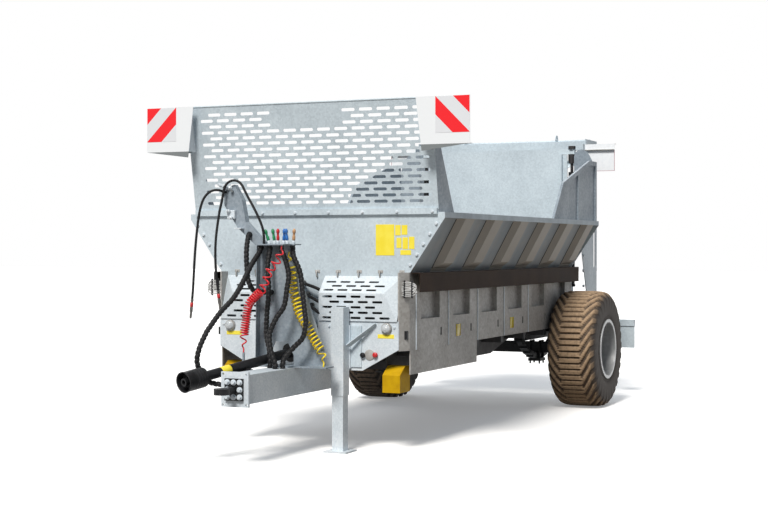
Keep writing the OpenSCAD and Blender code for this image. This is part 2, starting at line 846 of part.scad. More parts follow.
// Wedge under the guard's skin, set in by a wall, cut off by the hip at its outer end
module guard_wedge(wall, past) {
    corner = [guard_x, load_y, plate_hi];
    hip = unit(cross([guard_back, load_y, guard_top] - corner, [guard_x, guard_hip_y, guard_fold] - corner));
    difference() {
        along(guard_in - past, load_y - guard_in + 2 * past) polygon([[guard_back - past, plate_hi - past],
            [guard_x - wall, plate_hi - past], [guard_x - wall, guard_fold - wall * tan(guard_slope / 2)],
            [guard_back, guard_top - wall / sin(guard_slope)],
            [guard_back - past, guard_top - wall / sin(guard_slope)]]);
        translate(corner - wall * hip) rotate([0, acos(hip.z), atan2(hip.y, hip.x)])
            translate([-load_y, -load_y, 0]) cube(2 * load_y);
    }
}

// Shift of a row of slots, in pitches, so that the rows lie like bricks
function brick(row) = row % 2 == 0 ? 0.6 : 1.1;

module guard_hole() across(-2 * guard_t, 4 * guard_t) slot2d(guard_slot, guard_slot_h);

// Folded perforated cover: upright front, sloping top and a hipped outer corner
module guard() {
    rows_front = floor(guard_h / guard_row);
    rows_slope = floor(guard_slope_len / guard_row) - 1;
    count = floor((guard_hip_y - guard_in) / guard_pitch) + 1;
    difference() {
        guard_wedge(0, 0);
        guard_wedge(guard_t, 1);
        for (row = [0:rows_front - 1], i = [0:count - 1]) {
            y = guard_in + guard_pitch * (i + brick(row));
            z = plate_hi + guard_row * (row + 0.6);
            edge = load_y - (load_y - guard_hip_y) * (z - plate_hi) / (guard_fold - plate_hi);
            if (y + guard_slot * 0.7 < edge)
                translate([guard_x, y, z]) guard_hole();
        }
        translate([guard_x, 0, guard_fold]) rotate([0, -guard_slope, 0])
            for (row = [0:rows_slope - 1], i = [0:count - 1])
                if (i + (row % 2) / 2 < count - 1)
                    translate([0, guard_in + guard_pitch * (i + brick(row)), guard_row * (row + 0.8)])
                        guard_hole();
    }
}

bar_mid = (bar_hi + bar_lo) / 2;

module drawbar_beam() {
    difference() {
        block([bar_rear, -bar_w / 2, bar_lo], [bar_front - end_t, bar_w / 2, bar_hi]);
        block([bar_rear - 1, bar_t - bar_w / 2, bar_lo + bar_t],
            [bar_front - end_t, bar_w / 2 - bar_t, bar_hi - bar_t]);
    }
    difference() {
        block([bar_front - end_t, -end_w / 2, bar_mid - end_h / 2],
            [bar_front, end_w / 2, bar_mid + end_h / 2]);
        for (y = [-1, 1], z = [-1, 1])
            translate([bar_front - end_t - 1, y * (end_w / 2 - bolt_d), bar_mid + z * (end_h / 2 - bolt_d)])
                rotate([0, 90, 0]) cylinder(d = bolt_d, h = end_t + 2);
    }
}

// Bolted flange, neck and ring with an upright bore
module hitch() {
    difference() {
        union() {
            block([bar_front, -eye_flange_w / 2, bar_mid - eye_flange_h / 2],
                [bar_front + end_t, eye_flange_w / 2, bar_mid + eye_flange_h / 2]);
            block([bar_front, -eye_t / 2, bar_mid - eye_t / 2], [eye_x, eye_t / 2, bar_mid + eye_t / 2]);
            translate([eye_x, 0, bar_mid - eye_t / 2]) cylinder(d = eye_od, h = eye_t);
        }
        translate([eye_x, 0, bar_mid - eye_t]) cylinder(d = eye_bore, h = 2 * eye_t);
    }
}

module leg_outer() {
    bore = leg_sq - 2 * leg_t;
    half = leg_sq / 2;
    difference() {
        block([leg_x - half, leg_y - half, leg_low], [leg_x + half, leg_y + half, leg_top]);
        block([leg_x - bore / 2, leg_y - bore / 2, leg_low - 1],
            [leg_x + bore / 2, leg_y + bore / 2, leg_top - leg_t]);
    }
    block([front_face, leg_y - half - plate_t, plate_foot + 2 * plate_t],
        [leg_x - half, leg_y + half + plate_t, plate_hi - 4 * plate_t]);
}

module leg_inner() {
    wide = leg_sq - 2 * leg_t - 2 * leg_fit;
    difference() {
        block([leg_x - wide / 2, leg_y - wide / 2, foot_t], [leg_x + wide / 2, leg_y + wide / 2, leg_in_top]);
        block([leg_x - wide / 2 + leg_t, leg_y - wide / 2 + leg_t, foot_t],
            [leg_x + wide / 2 - leg_t, leg_y + wide / 2 - leg_t, leg_in_top + 1]);
    }
    block([leg_x - foot_w / 2, leg_y - foot_w / 2, 0], [leg_x + foot_w / 2, leg_y + foot_w / 2, foot_t]);
}

module deck() block([chain_end - conv_rear, -load_y, deck_lo], [conv_front - chain_end, load_y, floor_z]);

// One chain strand and its links, round both shafts
module strand() {
    run = conv_front + conv_rear;
    links = floor(run / link_pitch);
    mid_r = sprocket_r + link_h / 2;
    pin_h = link_h / 2;
    for (level = [-1, 1]) {
        translate([-conv_rear, chain_y - pin_h / 2, chain_z + level * mid_r - pin_h / 2])
            cube([run, pin_h, pin_h]);
        for (i = [0:links - 1])
            translate([-conv_rear + (i + 0.5) * run / links - link_pitch * 0.4, chain_y - link_w / 2,
                chain_z + level * mid_r - link_h / 2])
                cube([link_pitch * 0.8, link_w, link_h]);
    }
    for (end = [[conv_front, -90], [-conv_rear, 90]])
        translate([end[0], chain_y, chain_z]) rotate([90, 0, 0]) rotate(end[1])
            rotate_extrude(angle = 180, $fn = 64)
            translate([sprocket_r, -link_w / 2]) square([link_h, link_w]);
}

module slats() {
    run = conv_front + conv_rear;
    count = floor(run / slat_pitch);
    for (level = [-1, 1], i = [0:count - 1])
        translate([-conv_rear + (i + 0.5) * run / count - slat_w / 2, -slat_y,
            chain_z + level * (sprocket_r + link_h) - (level > 0 ? link_h - 2 : slat_h)])
            cube([slat_w, 2 * slat_y, link_h - 2 + slat_h]);
}

module conveyor_shaft(x) {
    rod([x, -load_y, chain_z], [x, load_y, chain_z], conv_d);
    both_sides() rod([x, chain_y - sprocket_w / 2, chain_z], [x, chain_y + sprocket_w / 2, chain_z],
        2 * sprocket_r - 1);
}

// Side wall with recessed bays, slotted posts and a slanted front corner
module side() {
    inner = load_y + 2 * clear;
    difference() {
        block([-rear_x, load_y, body_z], [front_end, body_y, knee_z]);
        for (i = [0:rib_fit]) {
            x = slot_first + slot_w - i * rib_pitch;
            block([x, body_y - recess, recess_z], [x + recess_w, body_y + 1, knee_z - 5 * sheet_t]);
        }
        for (i = [-1:rib_fit - 2])
            block([slot_first - i * rib_pitch - slot_w / 2, load_y - 1, slot_z - slot_h / 2],
                [slot_first - i * rib_pitch + slot_w / 2, body_y + 1, slot_z + slot_h / 2]);
        translate([0, 0, body_z - 1]) linear_extrude(knee_z - body_z + 2)
            polygon([[front_end + 1, inner], [front_end + 1, body_y + 1],
                [front_end - corner_cut, body_y + 1], [front_end - corner_cut, body_y], [front_end, inner]]);
    }
}

// Pressed rib with a slanted foot, in the frame of the flared sheet
module rib() {
    reach = flare_len + rib_h;
    intersection() {
        linear_extrude(reach) polygon([[-rib_w / 2, -sheet_t / 2], [rib_w / 2, -sheet_t / 2], [rib_w / 2, 0],
            [rib_crest / 2, rib_h], [-rib_crest / 2, rib_h], [-rib_w / 2, 0]]);
        across(-rib_w / 2, rib_w) polygon([[-sheet_t / 2, rib_foot], [0, rib_foot],
            [rib_h, rib_foot + 1.5 * rib_h], [rib_h, reach], [-sheet_t / 2, reach]]);
    }
}

// Slanted upper wall with pressed ribs and a top rail
module flare() {
    across(-rear_x, front_x + rear_x) polygon([[body_y - sheet_t, knee_z], [body_y, knee_z],
        [flare_y, rail_z - rail_h], [flare_y - sheet_t, rail_z - rail_h]]);
    block([-rear_x, rail_y - rail_w, rail_z - rail_h], [front_x, rail_y, rail_z]);
    intersection() {
        for (i = [0:rib_fit - 1])
            translate([rib_first - i * rib_pitch, body_y, knee_z]) rotate([-flare_tilt, 0, 0]) rib();
        block([-rear_x, 0, knee_z], [front_x, 2 * rail_y, rail_z - rail_h]);
    }
}

// Bent black sheet that hangs outside the side wall
module skirt() across(-rear_x, skirt_front + rear_x) polygon([[body_y, knee_z - 2], [skirt_y, skirt_hi],
    [skirt_y, skirt_lo], [skirt_y - skirt_t, skirt_lo], [skirt_y - skirt_t, skirt_hi - skirt_t],
    [body_y, knee_z - 2 - skirt_t]]);

module wall() across(front_x, sheet_t) polygon([
    [-rail_y, rail_z], [rail_y, rail_z], [rail_y, rail_z - rail_h], [body_y, knee_z], [load_y, knee_z],
    [load_y, floor_z + 2 * link_h], [-load_y, floor_z + 2 * link_h],
    [-load_y, knee_z], [-body_y, knee_z], [-rail_y, rail_z - rail_h]]);

// Frame of the leaning screen, at the middle of its lower edge
module at_screen() translate([front_x + sheet_t, 0, screen_lo]) rotate([0, screen_tilt, 0]) children();

// Perforated sheet with rows of slots laid like bricks, a bar on its upper edge and a folded foot
module screen() {
    first_row = (screen_len - (mesh_n - 1) * mesh_row) / 2;
    half_n = floor((screen_y - mesh_slot) / mesh_pitch);
    at_screen() across(0, screen_t) difference() {
        translate([-screen_y, 0]) square([2 * screen_y, screen_len]);
        for (row = [0:mesh_n - 1], i = [-half_n:half_n]) {
            y = i * mesh_pitch + (row % 2 == 0 ? 0 : mesh_pitch / 2);
            bare = row >= mesh_n - mesh_bare_n && abs(y) < mesh_bare_y;
            if (!bare && abs(y) + mesh_slot / 2 < screen_y - mesh_h)
                translate([y, first_row + row * mesh_row]) slot2d(mesh_slot, mesh_h);
        }
    }
    wide = screen_y - sheet_t;
    at_screen() rod([screen_t / 2, -wide, screen_len], [screen_t / 2, wide, screen_len], screen_bar);
    block([front_x + sheet_t, -wide, screen_lo - screen_foot],
        [front_x + sheet_t + screen_foot_x, wide, screen_lo + mesh_h / 2]);
}

// Tapered plate from the rail up behind the edge of the screen
module screen_return() along(screen_y - sheet_t, sheet_t) polygon([[front_x + sheet_t - return_x, rail_z],
    [front_x + sheet_t, rail_z], [front_x + sheet_t, screen_lo], [front_x + sheet_t + screen_lean, screen_hi],
    [front_x + sheet_t + screen_lean - sheet_t, screen_hi - 4 * sheet_t]]);

// Upright board plate ahead of the screen, with a flange below it and a flap back to the screen
module front_board() {
    x = front_x + sheet_t + screen_lean + board_off;
    low = screen_hi - board_h;
    across(x, board_t) polygon([[board_in, screen_hi], [board_y, screen_hi], [board_y, low],
        [board_in + board_skew, low - board_skew]]);
    block([x - board_lip, screen_y + board_t, low], [x + board_t, board_y, low + board_t]);
    intersection() {
        at_screen() block([screen_t, board_in + board_skew, screen_len - board_h],
            [screen_t + 3 * board_off, board_in + board_skew + board_t, screen_len - screen_bar]);
        block([0, 0, low - board_skew], [x + board_t, 2 * board_y, screen_hi]);
    }
}

module front_lamp() {
    lamp_y = load_y - lamp_d;
    lamp_z = plate_hi - 0.6 * lamp_d;
    rod([front_face, lamp_y, lamp_z], [front_face + lamp_d / 3, lamp_y, lamp_z], lamp_d * 0.7);
    rod([front_face + lamp_d / 3, lamp_y, lamp_z], [front_face + lamp_d / 2, lamp_y, lamp_z], lamp_d);
}

// Upright sheet on the rail's rear end with a bent edge flange and ribs
module wing() {
    base_y = rail_y - rail_w / 2;
    edge = [[wing_front, rail_z], [wing_bend_x, wing_bend_z], [wing_full_x, wing_hi], [-rear_x, wing_hi],
        [-rear_x, rail_z]];
    along(base_y, wing_t) polygon(edge);
    along(base_y, wing_lip - rail_w / 4) difference() {
        polygon(edge);
        translate([0, -wing_lip]) polygon(concat(edge, [[-rear_x - 1, 0], [wing_front + 1, 0]]));
    }
    for (x = [-rear_x, wing_rib])
        intersection() {
            along(base_y, wing_lip - rail_w / 4) polygon(edge);
            block([x, 0, rail_z], [x + wing_lip, 2 * rail_y, wing_hi]);
        }
}

// Fixed rear panel beside the gate
module rear_panel() across(-rear_x - sheet_t, sheet_t) polygon([
    [gate_y - gate_lap, floor_z], [body_y, floor_z],
    [body_y, knee_z], [rail_y, rail_z - rail_h], [rail_y, rail_z], [gate_y - gate_lap, rail_z]]);

// Channel that guides one edge of the gate
module gate_guide() {
    web_y = gate_y + clear;
    front = -gate_x + clear;
    back = -gate_x - gate_t - clear;
    flange_y = cyl_y - gland_d / 2 - clear;
    top = gate_hi - clear;
    block([back - guide_t, web_y, floor_z], [-rear_x - sheet_t, web_y + guide_t, top]);
    block([front, gate_y - gate_lap, floor_z], [front + guide_t, flange_y, top]);
    block([back - guide_t, gate_y - gate_lap, floor_z], [back, web_y + guide_t, top]);
}

// Flat gate with a beam along its top that reaches out to the cylinders' rods
module gate() {
    block([-gate_x - gate_t, -gate_y, floor_z + clear], [-gate_x, gate_y, gate_hi]);
    block([cyl_x - rod_d, -cyl_y - rod_d, gate_hi], [-gate_x, cyl_y + rod_d, gate_hi + gate_beam]);
}

cyl_x = -gate_x - gate_t / 2;
gland_d = 1.2 * cyl_d;
// Thickness of a barrel's closed end, and the depth of its gland
barrel_end = cyl_d / 3;
gland_len = cyl_d;

// Plain rod with a thick head under the gate's beam and a nut over it
module gate_rod() {
    head_d = 2.4 * rod_d;
    rod([cyl_x, cyl_y, cyl_lo + gland_len], [cyl_x, cyl_y, gate_hi], rod_d);
    rod([cyl_x, cyl_y, gate_hi - 3 * rod_d], [cyl_x, cyl_y, gate_hi], head_d);
    rod([cyl_x, cyl_y, gate_hi + gate_beam], [cyl_x, cyl_y, gate_hi + gate_beam + rod_d], head_d);
}

// Barrel with a deep bore, a gland at its mouth and a foot on the guide
module gate_cylinder() {
    difference() {
        union() {
            rod([cyl_x, cyl_y, cyl_lo], [cyl_x, cyl_y, cyl_hi], cyl_d);
            rod([cyl_x, cyl_y, cyl_hi - gland_len], [cyl_x, cyl_y, cyl_hi], gland_d);
        }
        translate([cyl_x, cyl_y, cyl_lo + barrel_end])
            cylinder(d = (rod_d + cyl_d) / 2, h = cyl_hi - gland_len - cyl_lo - barrel_end);
        translate([cyl_x, cyl_y, cyl_lo + barrel_end]) cylinder(d = rod_d + 2 * run_fit, h = cyl_hi - cyl_lo);
    }
    block([cyl_x - cyl_d / 2, gate_y + clear + guide_t, cyl_lo - cyl_d / 2],
        [-gate_x + clear, cyl_y + cyl_d / 2, cyl_lo]);
}

// Side plate of the beater unit with a tall slot and a mast for the rear board
module cheek() along(cheek_y, cheek_t) difference() {
    mast = -rear_x - mast_x;
    polygon([[-rear_x - sheet_t, rail_z], [-rear_x - sheet_t, knee_z + cheek_up], [-beam_rear, base_lo],
        [-cheek_rear, base_lo], [-cheek_rear, top_hi], [mast - mast_w, top_hi],
        [mast - mast_w, rboard_lo + rboard_h], [mast, rboard_lo + rboard_h], [mast, rail_z]]);
    translate([-cheek_rear + 1.6 * cheek_slot_w, (knee_z + rail_z) / 2])
        rotate(90) slot2d(cheek_slot, cheek_slot_w);
}

// Ring plate to lift the beater unit by, on the top beam
module lifting_eye() along(lift_y, cheek_t) translate([-beat_x, top_hi + lift_d / 3]) difference() {
    union() {
        circle(d = lift_d);
        translate([-0.4 * lift_d, -0.4 * lift_d]) square([0.8 * lift_d, 0.4 * lift_d]);
    }
    circle(d = 0.4 * lift_d);
}

// Beam over the beaters with their upper bearings, a pipe along it and two lifting eyes
module top_beam() {
    pipe = [-beat_x - (top_w - pipe_d) / 2, cheek_y - 2 * pipe_d, top_hi + pipe_d / 3];
    difference() {
        block([-beat_x - top_w / 2, -cheek_y, top_lo], [-beat_x + top_w / 2, cheek_y, top_hi]);
        both_sides() translate([-beat_x, beat_y, top_lo - 1])
            cylinder(d = beat_shaft + 2 * run_fit, h = top_h + 2);
    }
    rod([pipe.x, -pipe.y, pipe.z], pipe, pipe_d);
    both_sides() lifting_eye();
}

// Hollow beam behind the main beams that carries the beaters' lower bearings
module base_beam() difference() {
    block([-beam_rear - base_w, -cheek_y, base_lo], [-beam_rear, cheek_y, deck_lo - 5]);
    block([-beam_rear - base_w + beam_t, -cheek_y - 1, base_lo + beam_t],
        [-beam_rear - beam_t, cheek_y + 1, deck_lo - 5 - beam_t]);
    both_sides() translate([-beat_x, beat_y, base_lo - 1])
        cylinder(d = beat_shaft + 2 * run_fit, h = deck_lo);
}

module tray() difference() {
    block([-tray_rear, -load_y, deck_lo - tray_drop],
        [-rear_x - sheet_t, load_y, deck_lo - tray_drop + tray_t]);
    both_sides() translate([-beat_x, beat_y, deck_lo - tray_t])
        cylinder(d = beat_shaft + 4 * clear, h = 2 * tray_t);
}

beat_low = deck_lo - tray_drop + tray_t + clear;

// Upright tube with two helical flights, toothed at the edge, over a throwing disc
module beater() {
    flight_lo = beat_low + disc_t;
    flight_len = tube_hi - flight_lo;
    translate([-beat_x, beat_y, 0]) {
        translate([0, 0, base_lo + beam_t]) cylinder(d = beat_shaft, h = beat_low - base_lo, $fn = 48);
        translate([0, 0, beat_low]) cylinder(r = disc_r, h = disc_t, $fn = 48);
        translate([0, 0, beat_low]) cylinder(d = tube_d, h = tube_hi - beat_low, $fn = 24);
        translate([0, 0, tube_hi - 1]) cylinder(d = beat_shaft, h = top_hi - tube_hi, $fn = 48);
        for (start = [0, 180]) {
            translate([0, 0, flight_lo - 1]) rotate(start)
                linear_extrude(flight_len, twist = -360 * beat_turns, slices = 12 * beat_turns,
                    segments = 4)
                    translate([tube_d / 4, -flight_t / 2]) square([flight_r - tube_d / 4, flight_t]);
            for (i = [1:tooth_n])
                translate([0, 0, flight_lo + i * flight_len / (tooth_n + 1)])
                    rotate(start + 360 * beat_turns * i / (tooth_n + 1))
                        block([flight_r - tooth_w, -tooth_w / 2, -tooth_w / 2],
                            [beat_r, tooth_w / 2, tooth_w / 2]);
        }
    }
}

module rear_board() {
    x = -rear_x - mast_x - 0.8 * mast_w;
    block([x - board_t, cheek_y + cheek_t, rboard_lo], [x, lampbar_y, rboard_lo + rboard_h]);
    block([x - board_t - board_lip, cheek_y + cheek_t, rboard_lo + rboard_h - board_t],
        [x - board_t, lampbar_y, rboard_lo + rboard_h]);
}

// Bar across the back on two arms, with a hanging lamp plate at each end
module lamp_carrier() {
    arm_y = spring_y;
    block([-lampbar_x, -lampbar_y, lampbar_hi - lampbar_h], [-lampbar_x + lampbar_w, lampbar_y, lampbar_hi]);
    both_sides() {
        block([-lampbar_x + lampbar_w, arm_y - lampbar_w / 2, lampbar_hi - lampbar_h],
            [-beam_rear - base_w, arm_y + lampbar_w / 2, lampbar_hi - lampbar_h / 3]);
        block([-lampbar_x + lampbar_w / 2, lampbar_y - lamp_w, lamp_lo],
            [-lampbar_x + lampbar_w / 2 + plate_t, lampbar_y, lampbar_hi - lampbar_h]);
    }
}

module rear_lamp() {
    lamp_z = (lamp_lo + lampbar_hi - lampbar_h) / 2;
    edge = lamp_w / 12;
    block([-lampbar_x + clear / 2, lampbar_y - lamp_w + edge, lamp_z - lamp_h / 4],
        [-lampbar_x + lampbar_w / 2, lampbar_y - edge, lamp_z + lamp_h / 4]);
}

cardan_from = [front_face + stub_len, 0, input_z];
cardan_to = [eye_x - park_back, -park_side, bar_hi - park_drop];

// Input gearbox behind the front plates, its stub and the long shaft to the rear
module drive() {
    box_x = front_end - box_len;
    joint_d = 1.6 * drive_d;
    block([box_x, -box_y, drive_z - box_y / 4], [front_end, box_y, input_z + box_y / 2]);
    rod([front_end, 0, input_z], [front_face + 0.8 * stub_len, 0, input_z], input_d);
    rod([box_x, 0, drive_z], [-beam_rear, 0, drive_z], drive_d);
    rod([box_x, 0, drive_z], [box_x - joint_len, 0, drive_z], joint_d);
    rod([joint_len - beam_rear, 0, drive_z], [-beam_rear, 0, drive_z], joint_d);
}

// Guarded cardan shaft with a bell and a bored yoke at each end, and its saddle on the drawbar
module cardan() {
    way = unit(cardan_to - cardan_from);
    tip = cardan_to + way * yoke_len;
    saddle_x = bar_front - saddle_back;
    rod(cardan_from, cardan_to, guard_d);
    rod(cardan_from, cardan_from + way * bell_len, bell_d);
    difference() {
        rod([front_face + 0.3 * stub_len, 0, input_z], cardan_from, yoke_d);
        rod([front_face, 0, input_z], [front_face + 0.8 * stub_len + clear, 0, input_z],
            input_d + 2 * run_fit);
    }
    difference() {
        union() {
            rod(cardan_to - way * bell_len, cardan_to, bell_d);
            rod(cardan_to - way * clear, tip, yoke_d);
        }
        rod(cardan_to + way * clear, tip + way, input_d);
    }
    difference() {
        across(saddle_x, saddle_t) polygon([[-bar_w / 2, bar_lo + saddle_t], [-bar_w / 2, bar_hi],
            [-saddle_y, bar_hi + 2 * saddle_t], [-saddle_y, bar_hi - 3 * saddle_t]]);
        rod(cardan_from, cardan_to, guard_d + 2 * run_fit);
    }
}

stand_lo = bar_hi + 2 * stand_t;
shelf_lo = stand_hi - 2 * stand_t;
arm_front = stand_t + arm_w;
// Corners of the stand's foot, its shelf, the red line's bracket and the yellow line's, from its middle
stand_foot = [[-40, -265], [100, 370]];
shelf = [[stand_t, -240], [120, 110]];
red_bracket = [[120, 40], [260, 85]];
yellow_bracket = [[stand_t, 0], [76, 45]];
bracket_drop = 50;
// Socket of the red line's lower end, right of the drawbar
red_socket = [280, -250, 120];
// Edge of the stand's sheet in Y and in height over its foot, right to left
sheet_right = [[-260, stand_lo], [-250, stand_hi]];
sheet_left = [[310, stand_lo], [310, stand_lo + 130], [10, stand_hi]];
// Outline of the hose arm in Y and in height over the shelf
arm_edge = [[-190, 15], [-190, -5], [-262, -10], [-425, 130], [-545, 310], [-550, 435], [-455, 470],
    [-385, 350], [-350, 175]];
coupler_y = [-110, -20, 70];
coupler_h = 110;

// Box between two plan corners and two heights
module slab(plan, low, high) block([plan[0].x, plan[0].y, low], [plan[1].x, plan[1].y, high]);

// A-shaped folded sheet with an arch over the cardan shaft, coupler shelf, brackets and hose arm
module stand() {
    way = unit(cardan_to - cardan_from);
    arch = cardan_from + way * (stand_x - cardan_from.x) / way.x;
    side = 1.4 * guard_d;
    difference() {
        across(stand_x, stand_t) polygon(concat([sheet_right[0]], sheet_left, [sheet_right[1]]));
        across(stand_x - 1, stand_t + 2) polygon([[arch.y - side, stand_lo - 1], [arch.y - side, arch.z],
            [arch.y - side / 2, arch.z + side], [arch.y + side / 2, arch.z + side], [arch.y + side, arch.z],
            [arch.y + side, stand_lo - 1]]);
    }
    across(stand_x, arm_front) polygon([sheet_right[0], sheet_right[1], sheet_right[1] - [stand_t, 0],
        sheet_right[0] - [stand_t, 0]]);
    translate([stand_x, 0, 0]) {
        slab(stand_foot, bar_hi, stand_lo);
        slab(shelf, shelf_lo, stand_hi);
        slab(red_bracket, shelf_lo, stand_hi);
        slab(yellow_bracket, shelf_lo - bracket_drop, shelf_lo - bracket_drop + stand_t);
        translate([0, 0, stand_hi]) across(stand_t, arm_w) polygon(arm_edge);
        block([red_socket.x - hang_d, red_socket.y - hang_d, bar_hi - 2 * hang_d],
            [red_socket.x + hang_d, -bar_w / 2, bar_hi - 1.5 * hang_d]);
        translate([red_socket.x, red_socket.y, bar_hi - 2 * hang_d])
            cylinder(d = hang_d, h = red_socket.z + 2 * hang_d);
    }
}

module coupler_set() for (y = coupler_y)
    rod([stand_x + arm_front, y, stand_hi], [stand_x + arm_front, y, stand_hi + coupler_h], hose_d);

// Routes of the hoses, chosen by hand, from the stand's foot on the drawbar
route_hang_a = [[66, -530, 1370], [90, -530, 1372], [150, -590, 1400], [190, -660, 1320],
    [200, -700, 1130], [200, -730, 900], [200, -750, 620], [200, -760, 510], [200, -765, 320]];
route_hang_b = [[80, -180, 960.5], [80, -180, 1020], [90, -195, 1100], [90, -262, 1220], [90, -335, 1330],
    [90, -385, 1420], [95, -440, 1466], [105, -495, 1436], [122, -530, 1345], [140, -548, 1210],
    [160, -568, 980], [160, -568, 780], [160, -545, 580], [160, -530, 420]];
route_red = [[240, 60, 949.5], [240, 60, 900], [255, 22, 821], [260, -30, 759], [260, -65, 682],
    [260, -100, 604], [262, -161, 550], [265, -214, 487], [270, -231, 386], [275, -243, 293],
    [280, -250, 200], [280, -250, 120.5]];
route_yellow = [[42, 22, 899.5], [42, 22, 850], [55, 45, 760], [55, 55, 640], [55, 90, 520],
    [60, 125, 420], [60, 190, 320], [60, 245, 230], [60, 310, 130], [60, 330, 70], [60, 330, 10.5]];
routes_wrapped = [[[65.5, -310, 1030], [90, -310, 1030], [140, -300, 930], [160, -290, 820],
    [170, -270, 680], [160, -230, 600], [110, -170, 585], [50, -150, 580], [5.5, -150, 580]],
    [[80, -210, 949.5], [80, -210, 910], [220, -215, 795], [350, -232, 640], [450, -247, 542],
    [550, -296, 444], [650, -327, 340], [700, -342, 280], [750, -370, 163], [750, -380, 55],
    [700, -329, -66], [650, -220, -98], [600, -150, -105], [600, -100.5, -105]],
    [[70, 70, 949.5], [70, 70, 910], [110, 100, 860], [120, 160, 735], [130, 185, 586], [140, 210, 430],
    [145, 220, 350], [150, 197, 240], [160, 127, 165], [200, 70, 90], [220, 60, 40], [220, 60, 0.5]],
    [[90, -20, 949.5], [90, -20, 910], [140, 40, 840], [160, 80, 720], [170, 70, 610], [180, 50, 480],
    [210, 0, 390], [240, -40, 280], [260, -30, 180], [270, 0, 90], [270, 20, 40], [270, 20, 0.5]],
    [[75, -130, 949.5], [75, -130, 910], [120, -125, 780], [140, -105, 600], [150, -115, 420],
    [160, -115, 260], [190, -75, 150], [205, -60, 60], [205, -60, 0.5]]];
module hose(route, d) translate([stand_x, 0, bar_hi]) tube(route, d);

// Wheel chock with its slanted face, stowed beside the main beam
module chock() along(spring_y + beam_w / 2, chock_w) translate([front_end - chock_back, body_z - chock_drop])
    polygon([[0, -chock_h], [chock_len, -chock_h], [chock_len, -chock_h / 3], [chock_len / 2, 0], [0, 0]]);

module main_beams() color(galvanised) place() both_sides() main_beam();
module cross_members() color(galvanised) place() cross_members_all();
module front_sills() color(galvanised) place() both_sides() front_sill();
module front_plates() color(galvanised) place() both_sides() front_plate();
module guard_left() color(galvanised) place() guard();
module guard_right() color(galvanised) place() right_side() guard();
module drawbar() color(galvanised) place() drawbar_beam();
module hitch_eye() color(dark_metal) place() hitch();
module leg_sleeve() color(galvanised) place() leg_outer();
module leg_tube() color(galvanised) place() leg_inner();
module floor_deck() color(galvanised) place() deck();
module floor_chain() color(dark_metal) place() {
    both_sides() strand();
    slats();
}
module conveyor_shafts() color(dark_metal) place() for (x = [conv_front, -conv_rear]) conveyor_shaft(x);
module side_left() color(galvanised) place() side();
module side_right() color(galvanised) place() right_side() side();
module flare_left() color(galvanised) place() flare();
module flare_right() color(galvanised) place() right_side() flare();
module skirt_left() color(black_sheet) place() skirt();
module skirt_right() color(black_sheet) place() right_side() skirt();
module front_wall() color(galvanised) place() wall();
module front_screen() color(galvanised) place() screen();
module screen_returns() color(galvanised) place() both_sides() screen_return();
module front_boards() color("white") place() both_sides() front_board();
module front_lamps() color("white") place() both_sides() front_lamp();
module wing_left() color(galvanised) place() wing();
module wing_right() color(galvanised) place() right_side() wing();
module rear_panels() color(galvanised) place() both_sides() rear_panel();
module gate_guides() color(galvanised) place() both_sides() gate_guide();
module tailgate() color(galvanised) place() gate();
module gate_rods() color("silver") place() both_sides() gate_rod();
module gate_cylinders() color(dark_metal) place() both_sides() gate_cylinder();
module adapter_sides() color(galvanised) place() both_sides() cheek();
module adapter_top() color(galvanised) place() top_beam();
module adapter_base() color(galvanised) place() base_beam();
module adapter_tray() color(galvanised) place() tray();
module beater_left() color(galvanised) place() beater();
module beater_right() color(galvanised) place() right_side() beater();
module rear_boards() color("white") place() both_sides() rear_board();
module lamp_bar() color(galvanised) place() lamp_carrier();
module rear_lamps() color("red") place() both_sides() rear_lamp();
module axle() color(dark_metal) place() axle_beam();
module leaf_springs() color(dark_metal) place() both_sides() leaf_spring();
module spring_clamps() color(dark_metal) place() both_sides() spring_clamp();
module spring_hangers() color(dark_metal) place() both_sides() {
    for (end = [-1, 1]) spring_hanger(end * spring_half);
    spring_carrier();
}
module tyre_left() color(rubber) place() tyre();
module rim_left() color("silver") place() rim();
module hub_left() color(dark_metal) place() hub();
module tyre_right() color(rubber) place() right_side() tyre();
module rim_right() color("silver") place() right_side() rim();
module hub_right() color(dark_metal) place() right_side() hub();
module drive_line() color(dark_metal) place() drive();
module cardan_shaft() color(dark_metal) place() cardan();
module hose_stand() color(galvanised) place() stand();
module couplers() color("steelblue") place() coupler_set();
module hoses() color(dark_metal) place() for (route = routes_wrapped) hose(route, hose_d);
module hose_hang_a() color(dark_metal) place() hose(route_hang_a, hang_d);
module hose_hang_b() color(dark_metal) place() hose(route_hang_b, hang_d);
module coil_red() color("red") place() hose(route_red, coil_d);
module coil_yellow() color(yellow) place() hose(route_yellow, coil_d);
module chocks() color(yellow) place() both_sides() chock();

main_beams();
cross_members();
front_sills();
front_plates();
guard_left();
guard_right();
drawbar();
hitch_eye();
leg_sleeve();
leg_tube();
floor_deck();
floor_chain();
conveyor_shafts();
side_left();
side_right();
flare_left();
flare_right();
skirt_left();
skirt_right();
front_wall();
front_screen();
screen_returns();
front_boards();
front_lamps();
wing_left();
wing_right();
rear_panels();
gate_guides();
tailgate();
gate_rods();
gate_cylinders();
adapter_sides();
adapter_top();
adapter_base();
adapter_tray();
beater_left();
beater_right();
rear_boards();
lamp_bar();
rear_lamps();
axle();
leaf_springs();
spring_clamps();
spring_hangers();
tyre_left();
rim_left();
hub_left();
tyre_right();
rim_right();
hub_right();
drive_line();
cardan_shaft();
hose_stand();
couplers();
hoses();
hose_hang_a();
hose_hang_b();
coil_red();
coil_yellow();
chocks();
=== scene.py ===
# %% [markdown]
# # A manure spreader, dressed
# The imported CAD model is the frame: it gives every plate its place. This lesson adds what the eye needs:
# lugs on the tyres, coils in the air lines, stripes on the boards and a finish on each metal.

# %% Load the frame
import math

